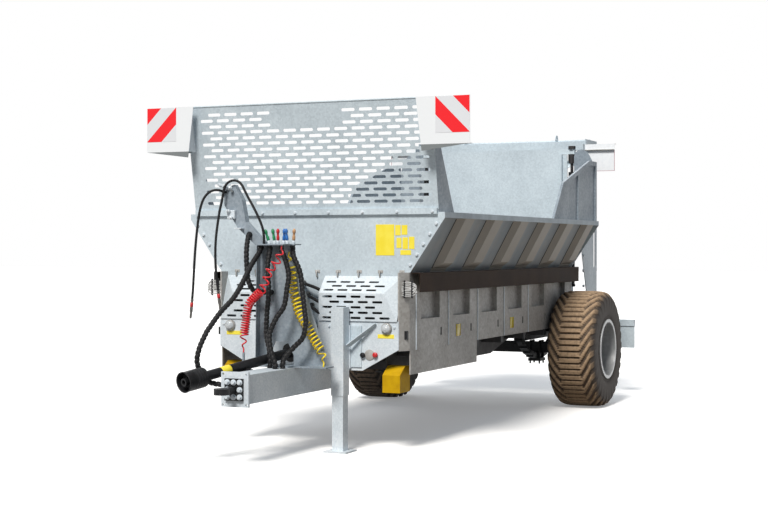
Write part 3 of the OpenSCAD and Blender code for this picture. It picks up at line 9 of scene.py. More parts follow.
import bpy
import numpy as np
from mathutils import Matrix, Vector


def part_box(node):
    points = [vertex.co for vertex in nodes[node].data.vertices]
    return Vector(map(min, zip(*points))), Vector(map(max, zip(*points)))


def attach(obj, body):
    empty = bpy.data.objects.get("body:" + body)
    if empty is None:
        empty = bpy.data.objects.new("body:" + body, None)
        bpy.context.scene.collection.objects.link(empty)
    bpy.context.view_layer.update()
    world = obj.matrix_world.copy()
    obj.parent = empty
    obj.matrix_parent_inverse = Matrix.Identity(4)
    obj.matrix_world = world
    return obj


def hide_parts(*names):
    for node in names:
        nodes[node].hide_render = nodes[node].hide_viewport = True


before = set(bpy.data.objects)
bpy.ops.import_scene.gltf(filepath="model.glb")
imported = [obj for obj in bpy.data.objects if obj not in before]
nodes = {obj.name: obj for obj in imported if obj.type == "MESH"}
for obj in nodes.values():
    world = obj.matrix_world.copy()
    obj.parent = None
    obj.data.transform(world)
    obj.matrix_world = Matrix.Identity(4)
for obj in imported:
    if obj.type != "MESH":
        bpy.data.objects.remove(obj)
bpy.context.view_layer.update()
tyre_low, tyre_high = (np.array(corner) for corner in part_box("tyre_left"))
axle = (tyre_low + tyre_high) / 2
axle_x = axle[0]
mirrored, hands = (-1, 1), (("left", 1.0), ("right", -1.0))
print("loaded", len(nodes), "nodes, axle at", axle.round(4))

# %% [markdown]
# ## The camera
# The photograph was taken from eye level with a long lens, ahead of the machine and to its left. A camera
# could be turned by hand until it looks right; here its place was worked out from known points on the
# machine, so that the render can be laid over the photograph. The horizon is a small shift of the lens, and
# the camera has no tilt.


# %% Camera
def place_in_scene(name, data):
    """New object at the origin for a mesh, a lamp or a camera, linked to the scene."""
    made = bpy.data.objects.new(name, data)
    bpy.context.scene.collection.objects.link(made)
    return made


heading = math.radians(23.82)
focal_px, wide_px, horizon_px = 1500.5, 768, 7.1
camera_data = bpy.data.cameras.new("camera")
camera_data.sensor_width = 36.0
camera_data.lens = focal_px / wide_px * camera_data.sensor_width
camera_data.shift_y = -horizon_px / wide_px
camera_data.clip_end = 200.0
camera = place_in_scene("camera", camera_data)
camera.location = (axle_x + 14.857, 5.430, 1.605)
camera.rotation_euler = (math.pi / 2, 0.0, math.pi / 2 + heading)
bpy.context.scene.camera = camera
print("lens", round(camera_data.lens, 2), "mm")

# %% [markdown]
# ## Small helpers for surfaces
# Every new piece is a stack of rings or a grid of points, worked out as one array. Modifiers could round
# and repeat plain solids too, but an array shows its formula, and its seams are closed from the start.


# %% Grids and pieces
def unit(vectors):
    """Each vector divided by its own length."""
    return vectors / np.linalg.norm(vectors, axis=-1, keepdims=True)


def circle(sides):
    """Angles of a full turn in even steps."""
    return np.linspace(0, 2 * np.pi, sides, endpoint=False)


def round_axis(axis, hint, sides):
    """Unit circle of points about an axis, starting square to the hint."""
    side = unit(np.cross(axis, hint))
    angle = circle(sides)[:, None]
    return np.cos(angle) * side + np.sin(angle) * np.cross(axis, side)


def from_axle(x, y, z):
    """Point measured from the axle's middle on the ground, in the frame's own axes."""
    return np.array([x + axle_x, y, z])


def grid_faces(rows, columns, wrap_rows=False, wrap_columns=False):
    """Quads of a grid of points counted row by row; wrapping joins the last row or column to the first."""
    r = np.arange(rows if wrap_rows else rows - 1)[:, None]
    c = np.arange(columns if wrap_columns else columns - 1)[None, :]
    r2, c2 = (r + 1) % rows, (c + 1) % columns
    quads = np.stack([r * columns + c, r * columns + c2, r2 * columns + c2, r2 * columns + c], -1)
    return quads.reshape(-1, 4)


def capped(rings):
    """Closed skin over a stack of rings of points: quads between the rings and a flat face on each end."""
    count, sides = rings.shape[:2]
    faces = grid_faces(count, sides, wrap_columns=True).tolist()
    last = (count - 1) * sides
    return rings.reshape(-1, 3), faces + [list(range(sides))[::-1], list(range(last, last + sides))]


def piece(name, parts, material, body="chassis", smooth=True):
    """One mesh object from a list of (points, faces) parts, with one material, tied to a body."""
    points, faces, start = [], [], 0
    for part_points, part_faces in parts:
        part_points = np.asarray(part_points, float).reshape(-1, 3)
        points.append(part_points)
        faces += [[int(i) + start for i in face] for face in part_faces]
        start += len(part_points)
    mesh = bpy.data.meshes.new(name)
    mesh.from_pydata(np.concatenate(points).tolist(), [], faces)
    mesh.polygons.foreach_set("use_smooth", np.full(len(mesh.polygons), smooth))
    mesh.validate()
    mesh.materials.append(material)
    made = place_in_scene(name, mesh)
    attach(made, body)
    print(name, len(mesh.vertices), "points", len(mesh.polygons), "faces")
    return made


print("a grid of 3 by 4 points has", len(grid_faces(3, 4)), "quads")


# %% Routes and tubes
def smooth_route(points, steps):
    """Catmull-Rom curve through the points, with the same number of steps between each pair."""
    p = np.asarray(points, float)
    padded = np.concatenate([p[:1], p, p[-1:]])
    t = (np.arange(steps) / steps)[None, :, None]
    a, b, c, d = (padded[i:len(p) - 1 + i, None, :] for i in range(4))
    curve = 0.5 * (2 * b + (c - a) * t + (2 * a - 5 * b + 4 * c - d) * t**2 + (3 * b - a - 3 * c + d) * t**3)
    return np.concatenate([curve.reshape(-1, 3), p[-1:]])


def even_route(points, spacing):
    """The same route with points a steady distance apart, by linear steps along its running length."""
    p = np.asarray(points, float)
    run = np.concatenate([[0.0], np.cumsum(np.linalg.norm(np.diff(p, axis=0), axis=1))])
    marks = np.linspace(0.0, run[-1], max(int(run[-1] / spacing), 2) + 1)
    return np.stack([np.interp(marks, run, p[:, k]) for k in range(3)], -1)


def route_length(points):
    """Sum of the straight steps between points."""
    return float(np.linalg.norm(np.diff(points, axis=0), axis=1).sum())


def frames(path, aside=(0.8, 0.6, 0.0)):
    """Two sideways directions at each point, the first being the part of aside across the heading."""
    t = unit(np.gradient(path, axis=0))
    aside = np.asarray(aside, float)
    n = unit(aside - (t @ aside)[:, None] * t)
    return n, np.cross(t, n)


def tube(path, radius, sides=12, aside=(0.8, 0.6, 0.0)):
    """Circle of a radius, a number or a (points, sides) array, carried along a path, with closed ends."""
    n, b = frames(path, aside)
    angle = circle(sides)[None, :, None]
    r = np.broadcast_to(np.asarray(radius, float), (len(path), sides))[..., None]
    return capped(path[:, None, :] + r * (np.cos(angle) * n[:, None] + np.sin(angle) * b[:, None]))


print("a bend through three points measures", round(route_length(smooth_route(np.eye(3), 12)), 3))


# %% Turned shapes and bars
def turned(profile, origin, axis, sides=32):
    """Profile of (radius, height) pairs turned about an axis from an origin; flat caps close both ends."""
    profile = np.asarray(profile, float)
    axis = unit(np.asarray(axis, float))
    path = np.asarray(origin, float) + profile[:, 1:2] * axis
    ring = round_axis(axis, [0.31, 0.52, 0.79], sides)
    return capped(path[:, None, :] + profile[:, 0][:, None, None] * ring[None])


def shell_ring(profile, origin, axis, sides=40):
    """Closed profile of (radius, height) pairs turned about an axis: its last row joins the first."""
    points, _ = turned(profile, origin, axis, sides)
    return points, grid_faces(len(profile), sides, wrap_rows=True, wrap_columns=True).tolist()


def bar(start, end, wide, high, bevel, up=(0.0, 0.0, 1.0)):
    """Rounded rectangle, wide by high, carried from start to end, its last rings drawn in by the bevel."""
    start, end = np.asarray(start, float), np.asarray(end, float)
    t = unit(end - start)
    w = unit(np.cross(np.asarray(up, float), t))
    h = np.cross(t, w)
    turn = circle(12) + np.pi / 12
    round_off = np.stack([np.cos(turn), np.sin(turn)], -1)
    inner = np.array([wide / 2 - bevel, high / 2 - bevel])
    length = np.linalg.norm(end - start)
    along = np.array([0.0, 0.3 * bevel, bevel, length - bevel, length - 0.3 * bevel, length])
    grow = np.array([0.0, 0.7, 1.0, 1.0, 0.7, 0.0]) * bevel
    flat = np.sign(round_off)[None] * inner + round_off[None] * grow[:, None, None]
    return capped(start + along[:, None, None] * t + flat[..., :1] * w + flat[..., 1:] * h)


def box_bar(low, high, bevel):
    """Bar along X that fills the box between two corners."""
    low, high = np.minimum(low, high), np.maximum(low, high)
    middle = (low + high) / 2
    ends = [[x, middle[1], middle[2]] for x in (low[0], high[0])]
    return bar(*ends, high[1] - low[1], high[2] - low[2], bevel)


def box_at(low, high, bevel):
    """Box between two corners given from the axle."""
    return box_bar(from_axle(*low), from_axle(*high), bevel)


def box_pair(low, high, bevel):
    """Box between two corners, given from the axle for the left side, on the right and on the left."""
    flips = [np.array([1, side, 1]) for side in mirrored]
    return [box_at(low * flip, high * flip, bevel) for flip in flips]


print("a bevelled bar has", len(bar([0, 0, 0], [1, 0, 0], 0.1, 0.1, 0.01)[0]), "points")

# %% [markdown]
# ## Finishes
# Almost the whole machine is hot-dip galvanised steel. Zinc freezes into flakes a centimetre or two wide,
# the spangle, each a little lighter or darker than the next; rain and handling leave broad dull patches
# over it. A picture of zinc would repeat and stretch, so each finish is worked out from the place on the
# object. One function adds a node, and each finish is a short list of such nodes.


# %% Colour and nodes
def linear(hex_colour, alpha=1.0):
    """sRGB hex to the linear colour that shaders use."""
    channel = np.array([int(hex_colour[i:i + 2], 16) for i in (1, 3, 5)]) / 255
    value = np.where(channel <= 0.04045, channel / 12.92, ((channel + 0.055) / 1.055) ** 2.4)
    return (*value.tolist(), alpha)


def add(tree, kind, inputs=None, **settings):
    """Adds one node: settings are its properties, inputs its sockets, each a link or a constant."""
    node = tree.nodes.new(kind)
    for key, value in settings.items():
        setattr(node, key, value)
    for key, value in (inputs or {}).items():
        if isinstance(value, bpy.types.NodeSocket):
            tree.links.new(value, node.inputs[key])
        else:
            node.inputs[key].default_value = value
    return node


def new_material(name):
    """Empty material; returns it, its tree and the place on the object in metres."""
    material = bpy.data.materials.new(name)
    material.use_nodes = True
    tree = material.node_tree
    tree.nodes.clear()
    return material, tree, add(tree, "ShaderNodeTexCoord").outputs["Object"]


print("middle grey is", round(linear("#808080")[0], 3), "in linear light")


# %% Short names for common nodes
def calc(tree, operation, *values):
    """One sum; each value is a link or a number."""
    return add(tree, "ShaderNodeMath", dict(enumerate(values)), operation=operation).outputs[0]


def mix(tree, share, first, second):
    """Colour between two others: the first where the share is 0, the second where it is 1."""
    inputs = {"Factor": share, "A": first, "B": second}
    return add(tree, "ShaderNodeMix", inputs, data_type="RGBA").outputs["Result"]


def split(tree, vector):
    """The X, Y and Z of a vector."""
    return add(tree, "ShaderNodeSeparateXYZ", {"Vector": vector}).outputs


def per_metre(millimetres):
    """Texture scale that gives features of this size on Object coordinates in metres."""
    return 1000.0 / millimetres


def noise(tree, place, grain_mm, detail, roughness=0.5):
    """Cloudy grain of a size in millimetres."""
    inputs = {"Vector": place, "Scale": per_metre(grain_mm), "Detail": detail, "Roughness": roughness}
    return add(tree, "ShaderNodeTexNoise", inputs).outputs["Fac"]


def spread(tree, value, low, high, to_low=0.0, to_high=1.0):
    """The range from low to high stretched over another range."""
    inputs = {"Value": value, "From Min": low, "From Max": high, "To Min": to_low, "To Max": to_high}
    return add(tree, "ShaderNodeMapRange", inputs).outputs["Result"]


def ramp(tree, factor, stops):
    """Colour ramp through (position, hex) stops."""
    node = add(tree, "ShaderNodeValToRGB", {"Fac": factor})
    elements = node.color_ramp.elements
    while len(elements) < len(stops):
        elements.new(0.5)
    for element, (position, colour) in zip(elements, stops):
        element.position = position
        element.color = linear(colour)
    return node.outputs["Color"]


def surface(tree, colour, roughness, metallic=0.0, bump=None, bump_mm=0.0, shine=0.5):
    """Principled surface and output; colour and roughness are a link or a value."""
    inputs = {"Base Color": colour, "Roughness": roughness, "Metallic": metallic, "Specular IOR Level": shine}
    if bump is not None:
        relief = add(tree, "ShaderNodeBump", {"Height": bump, "Distance": bump_mm / 1000, "Strength": 1.0})
        inputs["Normal"] = relief.outputs["Normal"]
    shader = add(tree, "ShaderNodeBsdfPrincipled", inputs)
    add(tree, "ShaderNodeOutputMaterial", {"Surface": shader.outputs["BSDF"]})


print("flakes of 16 mm take a scale of", per_metre(16))

# %% Galvanised steel
patch_mm, flake_share, flake_deep_mm = 420, 0.22, 0.15


def galvanised_steel(name, dull, plain, bright, spangle_mm, roughness, metallic):
    """Zinc flakes from Voronoi cells, patches from broad noise, both mixed into one colour ramp."""
    material, tree, place = new_material(name)
    flakes = add(tree, "ShaderNodeTexVoronoi", {"Vector": place, "Scale": per_metre(spangle_mm)})
    flake = add(tree, "ShaderNodeSeparateColor", {"Color": flakes.outputs["Color"]}).outputs["Red"]
    patches = noise(tree, place, patch_mm, 5.0, 0.62)
    level = calc(tree, "MULTIPLY_ADD", patches, 1 - flake_share, calc(tree, "MULTIPLY", flake, flake_share))
    colour = ramp(tree, level, [(0.30, dull), (0.52, plain), (0.72, bright)])
    rough = spread(tree, level, 0.3, 0.7, roughness + 0.08, roughness - 0.08)
    surface(tree, colour, rough, metallic, flakes.outputs["Distance"], flake_deep_mm)
    return material


zinc = galvanised_steel("hot_dip_galvanised_steel", "#b1bec6", "#bfccd4", "#cbd8df", 16, 0.48, 0.10)
# zinc_fresh_lit: fresh zinc, also made lighter as painted light for the sunlit front parts; bolts and
# fittings use it too.
zinc_fresh_lit = galvanised_steel("fresh_and_lit_galvanised_steel", "#bfcad2", "#ced8df", "#dde4e9", 12, 0.44, 0.08)
# zinc_shade: a darker, warmer copy, partly weathering and partly painted shade, for the sides, sills and
# floor deck and a few small parts.
zinc_shade = galvanised_steel("weathered_and_shaded_galvanised_steel", "#918f8b", "#a2a19e", "#b3b3b1", 20, 0.54, 0.10)
# zinc_blue_shade: a darker, bluish copy as painted shade for faces turned from the sun: wings, screen
# returns, hose stand, corner plates.
zinc_blue_shade = galvanised_steel("blue_shaded_galvanised_steel", "#77828c", "#87939d", "#99a4ad", 18, 0.52, 0.10)
print("galvanised finishes made")

# %% [markdown]
# ## The flared walls' finish
# The flared walls are pressed into broad ribs. Their outer faces look down, away from the sun, and the finish
# paints their light and shade: the ribs' faces take a lighter warm brown, a painted highlight of the light
# they catch from the ground, and the sheet between them is blue-grey in painted shade, darkest behind a rib.
# Noise mixes real dirt stains over it. These tones could be painted on by hand; since they follow the ribs,
# the place along the wall gives them here, and faces that look up into the hopper stay plain.

# %% Flare finish
rib_first, rib_pitch, rib_half = 3.400, 0.703, 0.165


def ribbed_steel(name, rib_light_hex, sheet_hex, shade_hex, dirt_hex):
    """Zinc with painted light and shade set by the place along the flare: u = fraction of (x - rib_first) /
    pitch
    + 1/2, so the rib is |u - 1/2| pitch < half; the sheet starts in painted shade behind a rib and clears
      towards
    the next one; noise mixes in dirt stains."""
    material, tree, place = new_material(name)
    x = split(tree, place)["X"]
    start = 0.5 - (axle_x + rib_first) / rib_pitch
    u = calc(tree, "FRACT", calc(tree, "MULTIPLY_ADD", x, 1 / rib_pitch, start))
    edge, soft = rib_half / rib_pitch, 0.012
    tone = ramp(tree, u, [(0.0, shade_hex), (0.5 - edge - soft, sheet_hex), (0.5 - edge, rib_light_hex),
                          (0.5 + edge, rib_light_hex), (0.5 + edge + soft, shade_hex), (1.0, shade_hex)])
    stain = noise(tree, place, 160, 6.0, 0.65)
    outside = mix(tree, spread(tree, stain, 0.3, 0.7, 0.0, 0.5), tone, linear(dirt_hex))
    normal = add(tree, "ShaderNodeTexCoord").outputs["Normal"]
    upward = calc(tree, "GREATER_THAN", split(tree, normal)["Z"], -0.05)
    inside = ramp(tree, stain, [(0.35, "#a9b5bd"), (0.65, "#bcc8d0")])
    surface(tree, mix(tree, upward, outside, inside), 0.58, 0.08, shine=0.3)
    return material


flare_zinc = ribbed_steel("ribbed_galvanised_steel_with_painted_light_and_shade", "#9d9890", "#949fa6", "#727c83", "#8f8d88")
print("flare finish made for ribs", rib_pitch, "m apart")

# %% [markdown]
# ## Paint, plastic and rubber
# Paint and moulded plastic are never one flat colour: two close tones, mixed by fine noise, keep them
# alive. A dull finish also takes less shine, or the white surroundings would lift its dark faces at a low
# angle.


# %% Other finishes
def mottled(name, first, second, grain_mm, roughness, metallic=0.0, bump_mm=0.0, shine=0.5):
    """Two close colours mixed by fine noise."""
    material, tree, place = new_material(name)
    grain = noise(tree, place, grain_mm, 4.0)
    colour = ramp(tree, grain, [(0.35, first), (0.65, second)])
    surface(tree, colour, roughness, metallic, grain if bump_mm else None, bump_mm, shine)
    return material


dull_shine, faint_shine = 0.2, 0.05
coated_black = mottled("dark_coated_sheet_steel", "#261c17", "#33271f", 300, 0.6, shine=faint_shine)
chassis_black = mottled("black_chassis_paint", "#17181a", "#232527", 60, 0.5, bump_mm=0.1, shine=dull_shine)
# dark_steel: painted shade, the main beams and cross members darkened as the shaded underbody.
dark_steel = mottled("chassis_steel_in_painted_shade", "#3c3d3f", "#505153", 120, 0.6, shine=dull_shine)
bare_steel = mottled("bare_chain_steel", "#4e4d4b", "#6b6966", 25, 0.45, metallic=0.8)
silver_paint = mottled("silver_wheel_paint", "#a8aaac", "#b8babb", 40, 0.38, metallic=0.45)
hose_black = mottled("black_hose_rubber", "#111113", "#1a1b1d", 12, 0.5, bump_mm=0.2, shine=dull_shine)
guard_black = mottled("black_moulded_guard", "#131416", "#1c1d20", 30, 0.5, shine=dull_shine)
coil_red_plastic = mottled("red_air_line_nylon", "#d01420", "#e02430", 40, 0.28)
coil_yellow_plastic = mottled("yellow_air_line_nylon", "#f0d200", "#f6de1c", 40, 0.28)
chock_plastic = mottled("yellow_moulded_chock", "#b68e00", "#c49c00", 60, 0.6, bump_mm=0.3, shine=dull_shine)
sign_yellow = mottled("yellow_vinyl", "#eeda34", "#f3e34e", 80, 0.45)
lens_white = mottled("clear_lamp_lens", "#b4bcc1", "#c6ccd0", 20, 0.15)
lens_red = mottled("red_lamp_lens", "#8f0d10", "#a81418", 20, 0.15)
lens_yellow = mottled("yellow_marker_lens", "#e8cc00", "#f0d810", 20, 0.2)
board_white = mottled("white_reflective_sheet", "#e6ebf0", "#edf1f5", 30, 0.4)
blue_plastic = mottled("blue_coupler_sleeve", "#1f5fa8", "#2a72bc", 20, 0.35)
green_plastic = mottled("green_coupler_sleeve", "#117a4a", "#1a8c58", 20, 0.35)
tan_plastic = mottled("tan_coupler_sleeve", "#b58a62", "#c39a72", 20, 0.4)
red_plastic = mottled("red_coupler_sleeve", "#b8151c", "#c82228", 20, 0.35)
cable_grey = mottled("grey_cable_sheath", "#a9abab", "#c3c5c5", 15, 0.5)
faded_red = mottled("faded_red_edge_tape", "#a87f86", "#b48c92", 20, 0.5)
seam_shade = mottled("painted_shade_in_seam", "#1d1a17", "#2b2722", 50, 0.8)
print("paints and plastics made")


# %% Dusty tyre rubber
def dusty_rubber(name, rubber_hex, dust_hex):
    """Near-black rubber with pale tan dust where a stored attribute says so, broken up by noise."""
    material, tree, place = new_material(name)
    height = add(tree, "ShaderNodeAttribute", attribute_name="dust").outputs["Fac"]
    specks = noise(tree, place, 35, 6.0, 0.7)
    share = spread(tree, calc(tree, "MULTIPLY", specks, height), 0.12, 0.62)
    surface(tree, mix(tree, share, linear(rubber_hex), linear(dust_hex)), 0.82, 0.0, specks, 0.6)
    return material


tyre_rubber = dusty_rubber("dusty_tyre_rubber", "#2a2420", "#a48b6f")
print("tyre rubber made")

# %% [markdown]
# ## Hoses and air lines first
# The hoses stand in front of everything, so they are settled before the rest. Two thin hoses hang free from
# the arm and end in red-banded couplings. Two coiled air lines, red and yellow, run from the shelf to the
# drawbar. A curve object with a bevel could draw them too; an array of points gives the length and the
# bends that a hose must keep. The routes are measured from the stand's foot on the drawbar.

# %% Routes
foot = from_axle(4.400, 0.0, 0.680)


def route(points_mm, spacing):
    """Millimetre points from the stand's foot as an even, smooth route in metres."""
    return even_route(smooth_route(np.asarray(points_mm, float) / 1000, 24), spacing) + foot


def eased(path, passes):
    """Each inner point moved to half of itself and a quarter of each neighbour, a few times over; the ends
    stay. A stiff hose takes no bend tighter than about four times its width."""
    for _ in range(passes):
        path[1:-1] = (path[:-2] + 2 * path[1:-1] + path[2:]) / 4
    return path


hang_a_mm = [[66, -530, 1370], [94, -538, 1376], [126, -566, 1388], [156, -606, 1382], [178, -652, 1340],
             [192, -684, 1260], [200, -706, 1130], [200, -732, 900], [200, -750, 620], [200, -760, 510]]
hang_b_mm = [[80, -180, 960.5], [80, -180, 1020], [86, -193, 1100], [90, -250, 1220], [90, -321, 1336],
             [90, -375, 1432], [91, -404, 1456], [95, -440, 1465], [100, -476, 1456], [106, -505, 1432],
             [114, -519, 1398], [124, -530, 1310], [140, -548, 1200], [160, -568, 980], [160, -568, 780],
             [160, -545, 580]]
red_mm = [[240, 60, 949.5], [240, 60, 900], [255, 22, 821], [260, -30, 759], [260, -65, 682],
          [260, -100, 604], [262, -161, 550], [265, -214, 487], [270, -231, 386], [275, -243, 293],
          [280, -250, 200], [280, -250, 120.5]]
yellow_mm = [[42, 22, 899.5], [42, 22, 850], [55, 45, 760], [55, 55, 640], [55, 90, 520], [60, 125, 420],
             [60, 190, 320], [60, 245, 230], [60, 310, 130], [60, 330, 70], [60, 330, 10.5]]
print("hanging routes have", len(hang_a_mm), "and", len(hang_b_mm), "points")

# %% Hanging hoses and their couplings
hose_wide, hose_step, coupling_long = 0.020, 0.012, 0.14
coupling_metal = np.array([[0.0105, -0.012], [0.0125, -0.010], [0.0125, 0.0], [0.0105, 0.004], [0.0105, 0.36],
                           [0.0125, 0.40], [0.0125, 0.60], [0.0095, 0.66], [0.0095, 0.92], [0.007, 1.0]])
coupling_metal[2:, 1] *= coupling_long
coupling_band = np.array([[0.0108, 0.10], [0.0130, 0.11], [0.0130, 0.34], [0.0108, 0.35]])
coupling_band[:, 1] *= coupling_long
for name, points_mm in (("hose_hang_a", hang_a_mm), ("hose_hang_b", hang_b_mm)):
    path = even_route(eased(route(points_mm, hose_step), 6), hose_step)
    tip, down = path[-1], unit(path[-1] - path[-3])
    hose = piece(name + "_rubber", [tube(path, hose_wide / 2, 14)], hose_black)
    nose = piece(name + "_coupling", [turned(coupling_metal, tip, down, 20)], bare_steel)
    ring = piece(name + "_band", [turned(coupling_band, tip, down, 20)], red_plastic)
    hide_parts(name)
    print(name, "is", round(route_length(path), 3), "m long")


# %% Coiled air lines
def coil(points_mm, loose, loose_turns, turns, radius):
    """Helix round the route: point = route + radius (cos a, sin a). The loose share of the route has few,
    wide turns and the rest has many; at both ends the turns draw out and the radius eases to nothing."""
    core = route(points_mm, 0.004)
    total = loose_turns + turns
    first, last = 1.5, 2
    turn_at = np.linspace(0, total, total * 20)
    share = np.interp(turn_at, [0, first, loose_turns, total - last, total], [0, 0.12, loose, 0.85, 1])
    base = np.stack([np.interp(share, np.linspace(0, 1, len(core)), core[:, k]) for k in range(3)], -1)
    n, b = frames(base)
    angle = 2 * np.pi * turn_at[:, None]
    ease = np.clip(np.minimum(turn_at / first, (total - turn_at) / last), 0, 1)
    grow = (radius * (ease * ease * (3 - 2 * ease)))[:, None]
    return base + grow * (np.cos(angle) * n + np.sin(angle) * b)


wire = 0.012
for name, material, shape in (("coil_red", coil_red_plastic, (red_mm, 0.44, 6, 22, 0.030)),
                              ("coil_yellow", coil_yellow_plastic, (yellow_mm, 0.40, 8, 16, 0.034))):
    path = coil(*shape)
    line = piece(name + "_line", [tube(path, wire / 2, 8)], material)
    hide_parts(name)
    print(name, "is", round(route_length(path), 2), "m of line")

# %% [markdown]
# ## Wrapped hoses
# Five hoses are held at both ends, so they belong to the machine rather than hang free. Each wears a black
# spiral guard. The guard could be a second tube wound round the first; here the hose's own radius swells
# once in every turn of the wrap, which is a bump that winds along the grid and leaves one closed skin.

# %% Wrapped hoses
wrapped_mm = [
    [[65.5, -310, 1030], [90, -310, 1030], [140, -300, 930], [160, -290, 820], [170, -270, 680],
     [160, -230, 600], [110, -170, 585], [50, -150, 580], [5.5, -150, 580]],
    [[80, -210, 949.5], [80, -210, 910], [220, -215, 795], [350, -232, 640], [450, -247, 542],
     [550, -296, 444], [650, -327, 340], [700, -342, 280], [750, -370, 163], [750, -380, 55],
     [700, -329, -66], [650, -220, -98], [600, -150, -105], [600, -100.5, -105]],
    [[70, 70, 949.5], [70, 70, 910], [110, 100, 860], [120, 160, 735], [130, 185, 586], [140, 210, 430],
     [145, 220, 350], [150, 197, 240], [160, 127, 165], [200, 70, 90], [220, 60, 40], [220, 60, 0.5]],
    [[90, -20, 949.5], [90, -20, 910], [140, 40, 840], [160, 80, 720], [170, 70, 610], [180, 50, 480],
     [210, 0, 390], [240, -40, 280], [260, -30, 180], [270, 0, 90], [270, 20, 40], [270, 20, 0.5]],
    [[75, -130, 949.5], [75, -130, 910], [120, -125, 780], [140, -105, 600], [150, -115, 420],
     [160, -115, 260], [190, -75, 150], [205, -60, 60], [205, -60, 0.5]]]
wrapped_r, wrap_pitch, wrap_thick, wrap_step = 0.021, 0.034, 0.004, 0.004


def wrapped_hose(points_mm):
    """Tube of the hose's radius plus a raised cosine of (angle - 2 pi run / pitch), the spiral guard."""
    path = route(points_mm, wrap_step)
    sides = 16
    run = np.arange(len(path))[:, None] * wrap_step
    bump = 0.5 + 0.5 * np.cos(circle(sides)[None, :] - 2 * np.pi * run / wrap_pitch)
    return tube(path, wrapped_r - wrap_thick + wrap_thick * np.clip(bump * 2.2, 0, 1), sides)


hose_set = piece("wrapped_hoses", [wrapped_hose(p) for p in wrapped_mm], hose_black)
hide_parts("hoses")

# %% [markdown]
# ## Tyres
# The tyres are wide flotation tyres with close bar lugs. Lugs could be solids set on a ring, one by one;
# here the surface is a grid, one way round the wheel and one way across the section from bead to bead, and a
# height field on that grid raises each lug by about 22 mm, so that lugs and casing are one skin with soft
# edges. Its two rims end inside the wheel's rim.

# %% Tyre section
tyre_r = (tyre_high[2] - tyre_low[2]) / 2
tyre_half = (tyre_high[1] - tyre_low[1]) / 2
rim_low, rim_high = (np.array(corner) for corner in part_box("rim_left"))
rim_r = (rim_high[2] - rim_low[2]) / 2
lug_count, lug_deep = 60, 0.022
crown_r, bead_r = tyre_r - lug_deep, rim_r + 0.005
flank_r = (crown_r + bead_r) / 2


def tyre_profile(columns):
    """Rounded square from bead to bead over the crown, (radius, across): the cosine and the sine of one
    angle, each raised to a power, then a straight bead that runs in to the rim."""
    sweep, power = np.radians(128), 0.45
    a = sweep * np.linspace(-1, 1, columns)
    a = a * (0.72 + 0.28 * np.abs(a) / sweep)
    radius = flank_r + (crown_r - flank_r) * np.sign(np.cos(a)) * np.abs(np.cos(a)) ** power
    across = tyre_half * np.sign(a) * np.abs(np.sin(a)) ** power
    seat = np.array([rim_r - 0.004, bead_r])
    edge = np.array([0.225, 0.235])
    return np.concatenate([seat, radius, seat[::-1]]), np.concatenate([-edge, across, edge[::-1]])


print("tyre radius", round(tyre_r, 4), "half width", round(tyre_half, 4))

# %% Lugs
bar_half, shoulder, rib_end = 0.10, 0.245, 0.40
bar_wide, arm_wide, rib_high = 0.39, 0.285, 0.7
arm_slope = math.tan(math.radians(55))


def lug_height(turn, radius, across):
    """Lug field from 0 to 1: straight bars across the middle, then one arm that climbs as it leaves the bar,
    on the left and on the right in turn. Below the shoulder an arm goes on as a rib that fades away."""
    way = np.abs(across) + np.clip(crown_r - radius, 0, None)
    lean = np.clip(way - bar_half, 0, None) * arm_slope / crown_r * lug_count / (2 * np.pi)
    lean = np.minimum(lean, 2.2 + 0.25 * lean)
    local = turn * lug_count - lean
    index = np.floor(local)
    flat = np.clip((bar_wide - np.abs(local - index - 0.5)) / 0.07, 0, 1)
    own = np.where(index % 2 == 0, 1.0, -1.0) == np.sign(across)
    second = np.abs((local / 2 - np.floor(local / 2)) - np.where(across > 0, 0.25, 0.75))
    arm = np.clip((arm_wide - second) / 0.05, 0, 1)
    low = np.clip((rib_end - way) / 0.10, 0, 1) * rib_high
    high = np.clip((shoulder - way) / 0.015, 0, 1)
    return np.where(way < bar_half, flat, np.where(own, arm * np.maximum(high, low), 0.0))


print(lug_count, "lugs", round(2 * math.pi * crown_r / lug_count, 3), "m apart")

# %% Tyre skins
rib_deep, wall_from = 0.007, 0.20


def tyre_skin(hand, side, dust_and_shade_scale):
    """Grid of (turn, section) points: the section's point moved out by the lug height on the tread; on the
    sidewalls the skin between the ribs is drawn in, so that the ribs stand out and the width stays."""
    around, columns = lug_count * 20, 68
    radius, across = tyre_profile(columns)
    turn = np.arange(around)[:, None] / around
    raised = lug_height(turn, radius[None, :], across[None, :])
    step = unit(np.stack([np.gradient(across), -np.gradient(radius)], -1))
    r = radius[None, :] + lug_deep * raised * np.abs(step[None, :, 0])
    wall = np.clip((np.abs(across) - wall_from) / 0.04, 0, 1) * np.clip((radius - bead_r - 0.02) / 0.04, 0, 1)
    y = across[None, :] - np.sign(across)[None, :] * rib_deep * wall[None, :] * (1 - raised)
    angle = 2 * np.pi * turn
    points = np.stack([axle[0] + r * np.cos(angle), side * axle[1] + y, axle[2] + r * np.sin(angle)], -1)
    faces = grid_faces(around, len(radius), wrap_rows=True)
    made = piece("tyre_skin_" + hand, [(points, faces)], tyre_rubber, "wheel_" + hand)
    crown = np.clip((radius - crown_r + 0.05) / 0.04, 0, 1)[None, :]
    dust = dust_and_shade_scale * (crown * (0.42 + 0.75 * raised) + (1 - crown) * (0.14 + 0.14 * raised))
    attribute = made.data.attributes.new("dust", "FLOAT", "POINT")
    attribute.data.foreach_set("value", dust.astype(np.float32).ravel())
    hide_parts("tyre_" + hand)


tyre_skin("left", 1.0, 1.0)
# The right tyre takes only about a third of the dust: painted shade, dark as a wheel in the body's shadow.
tyre_skin("right", -1.0, 0.35)

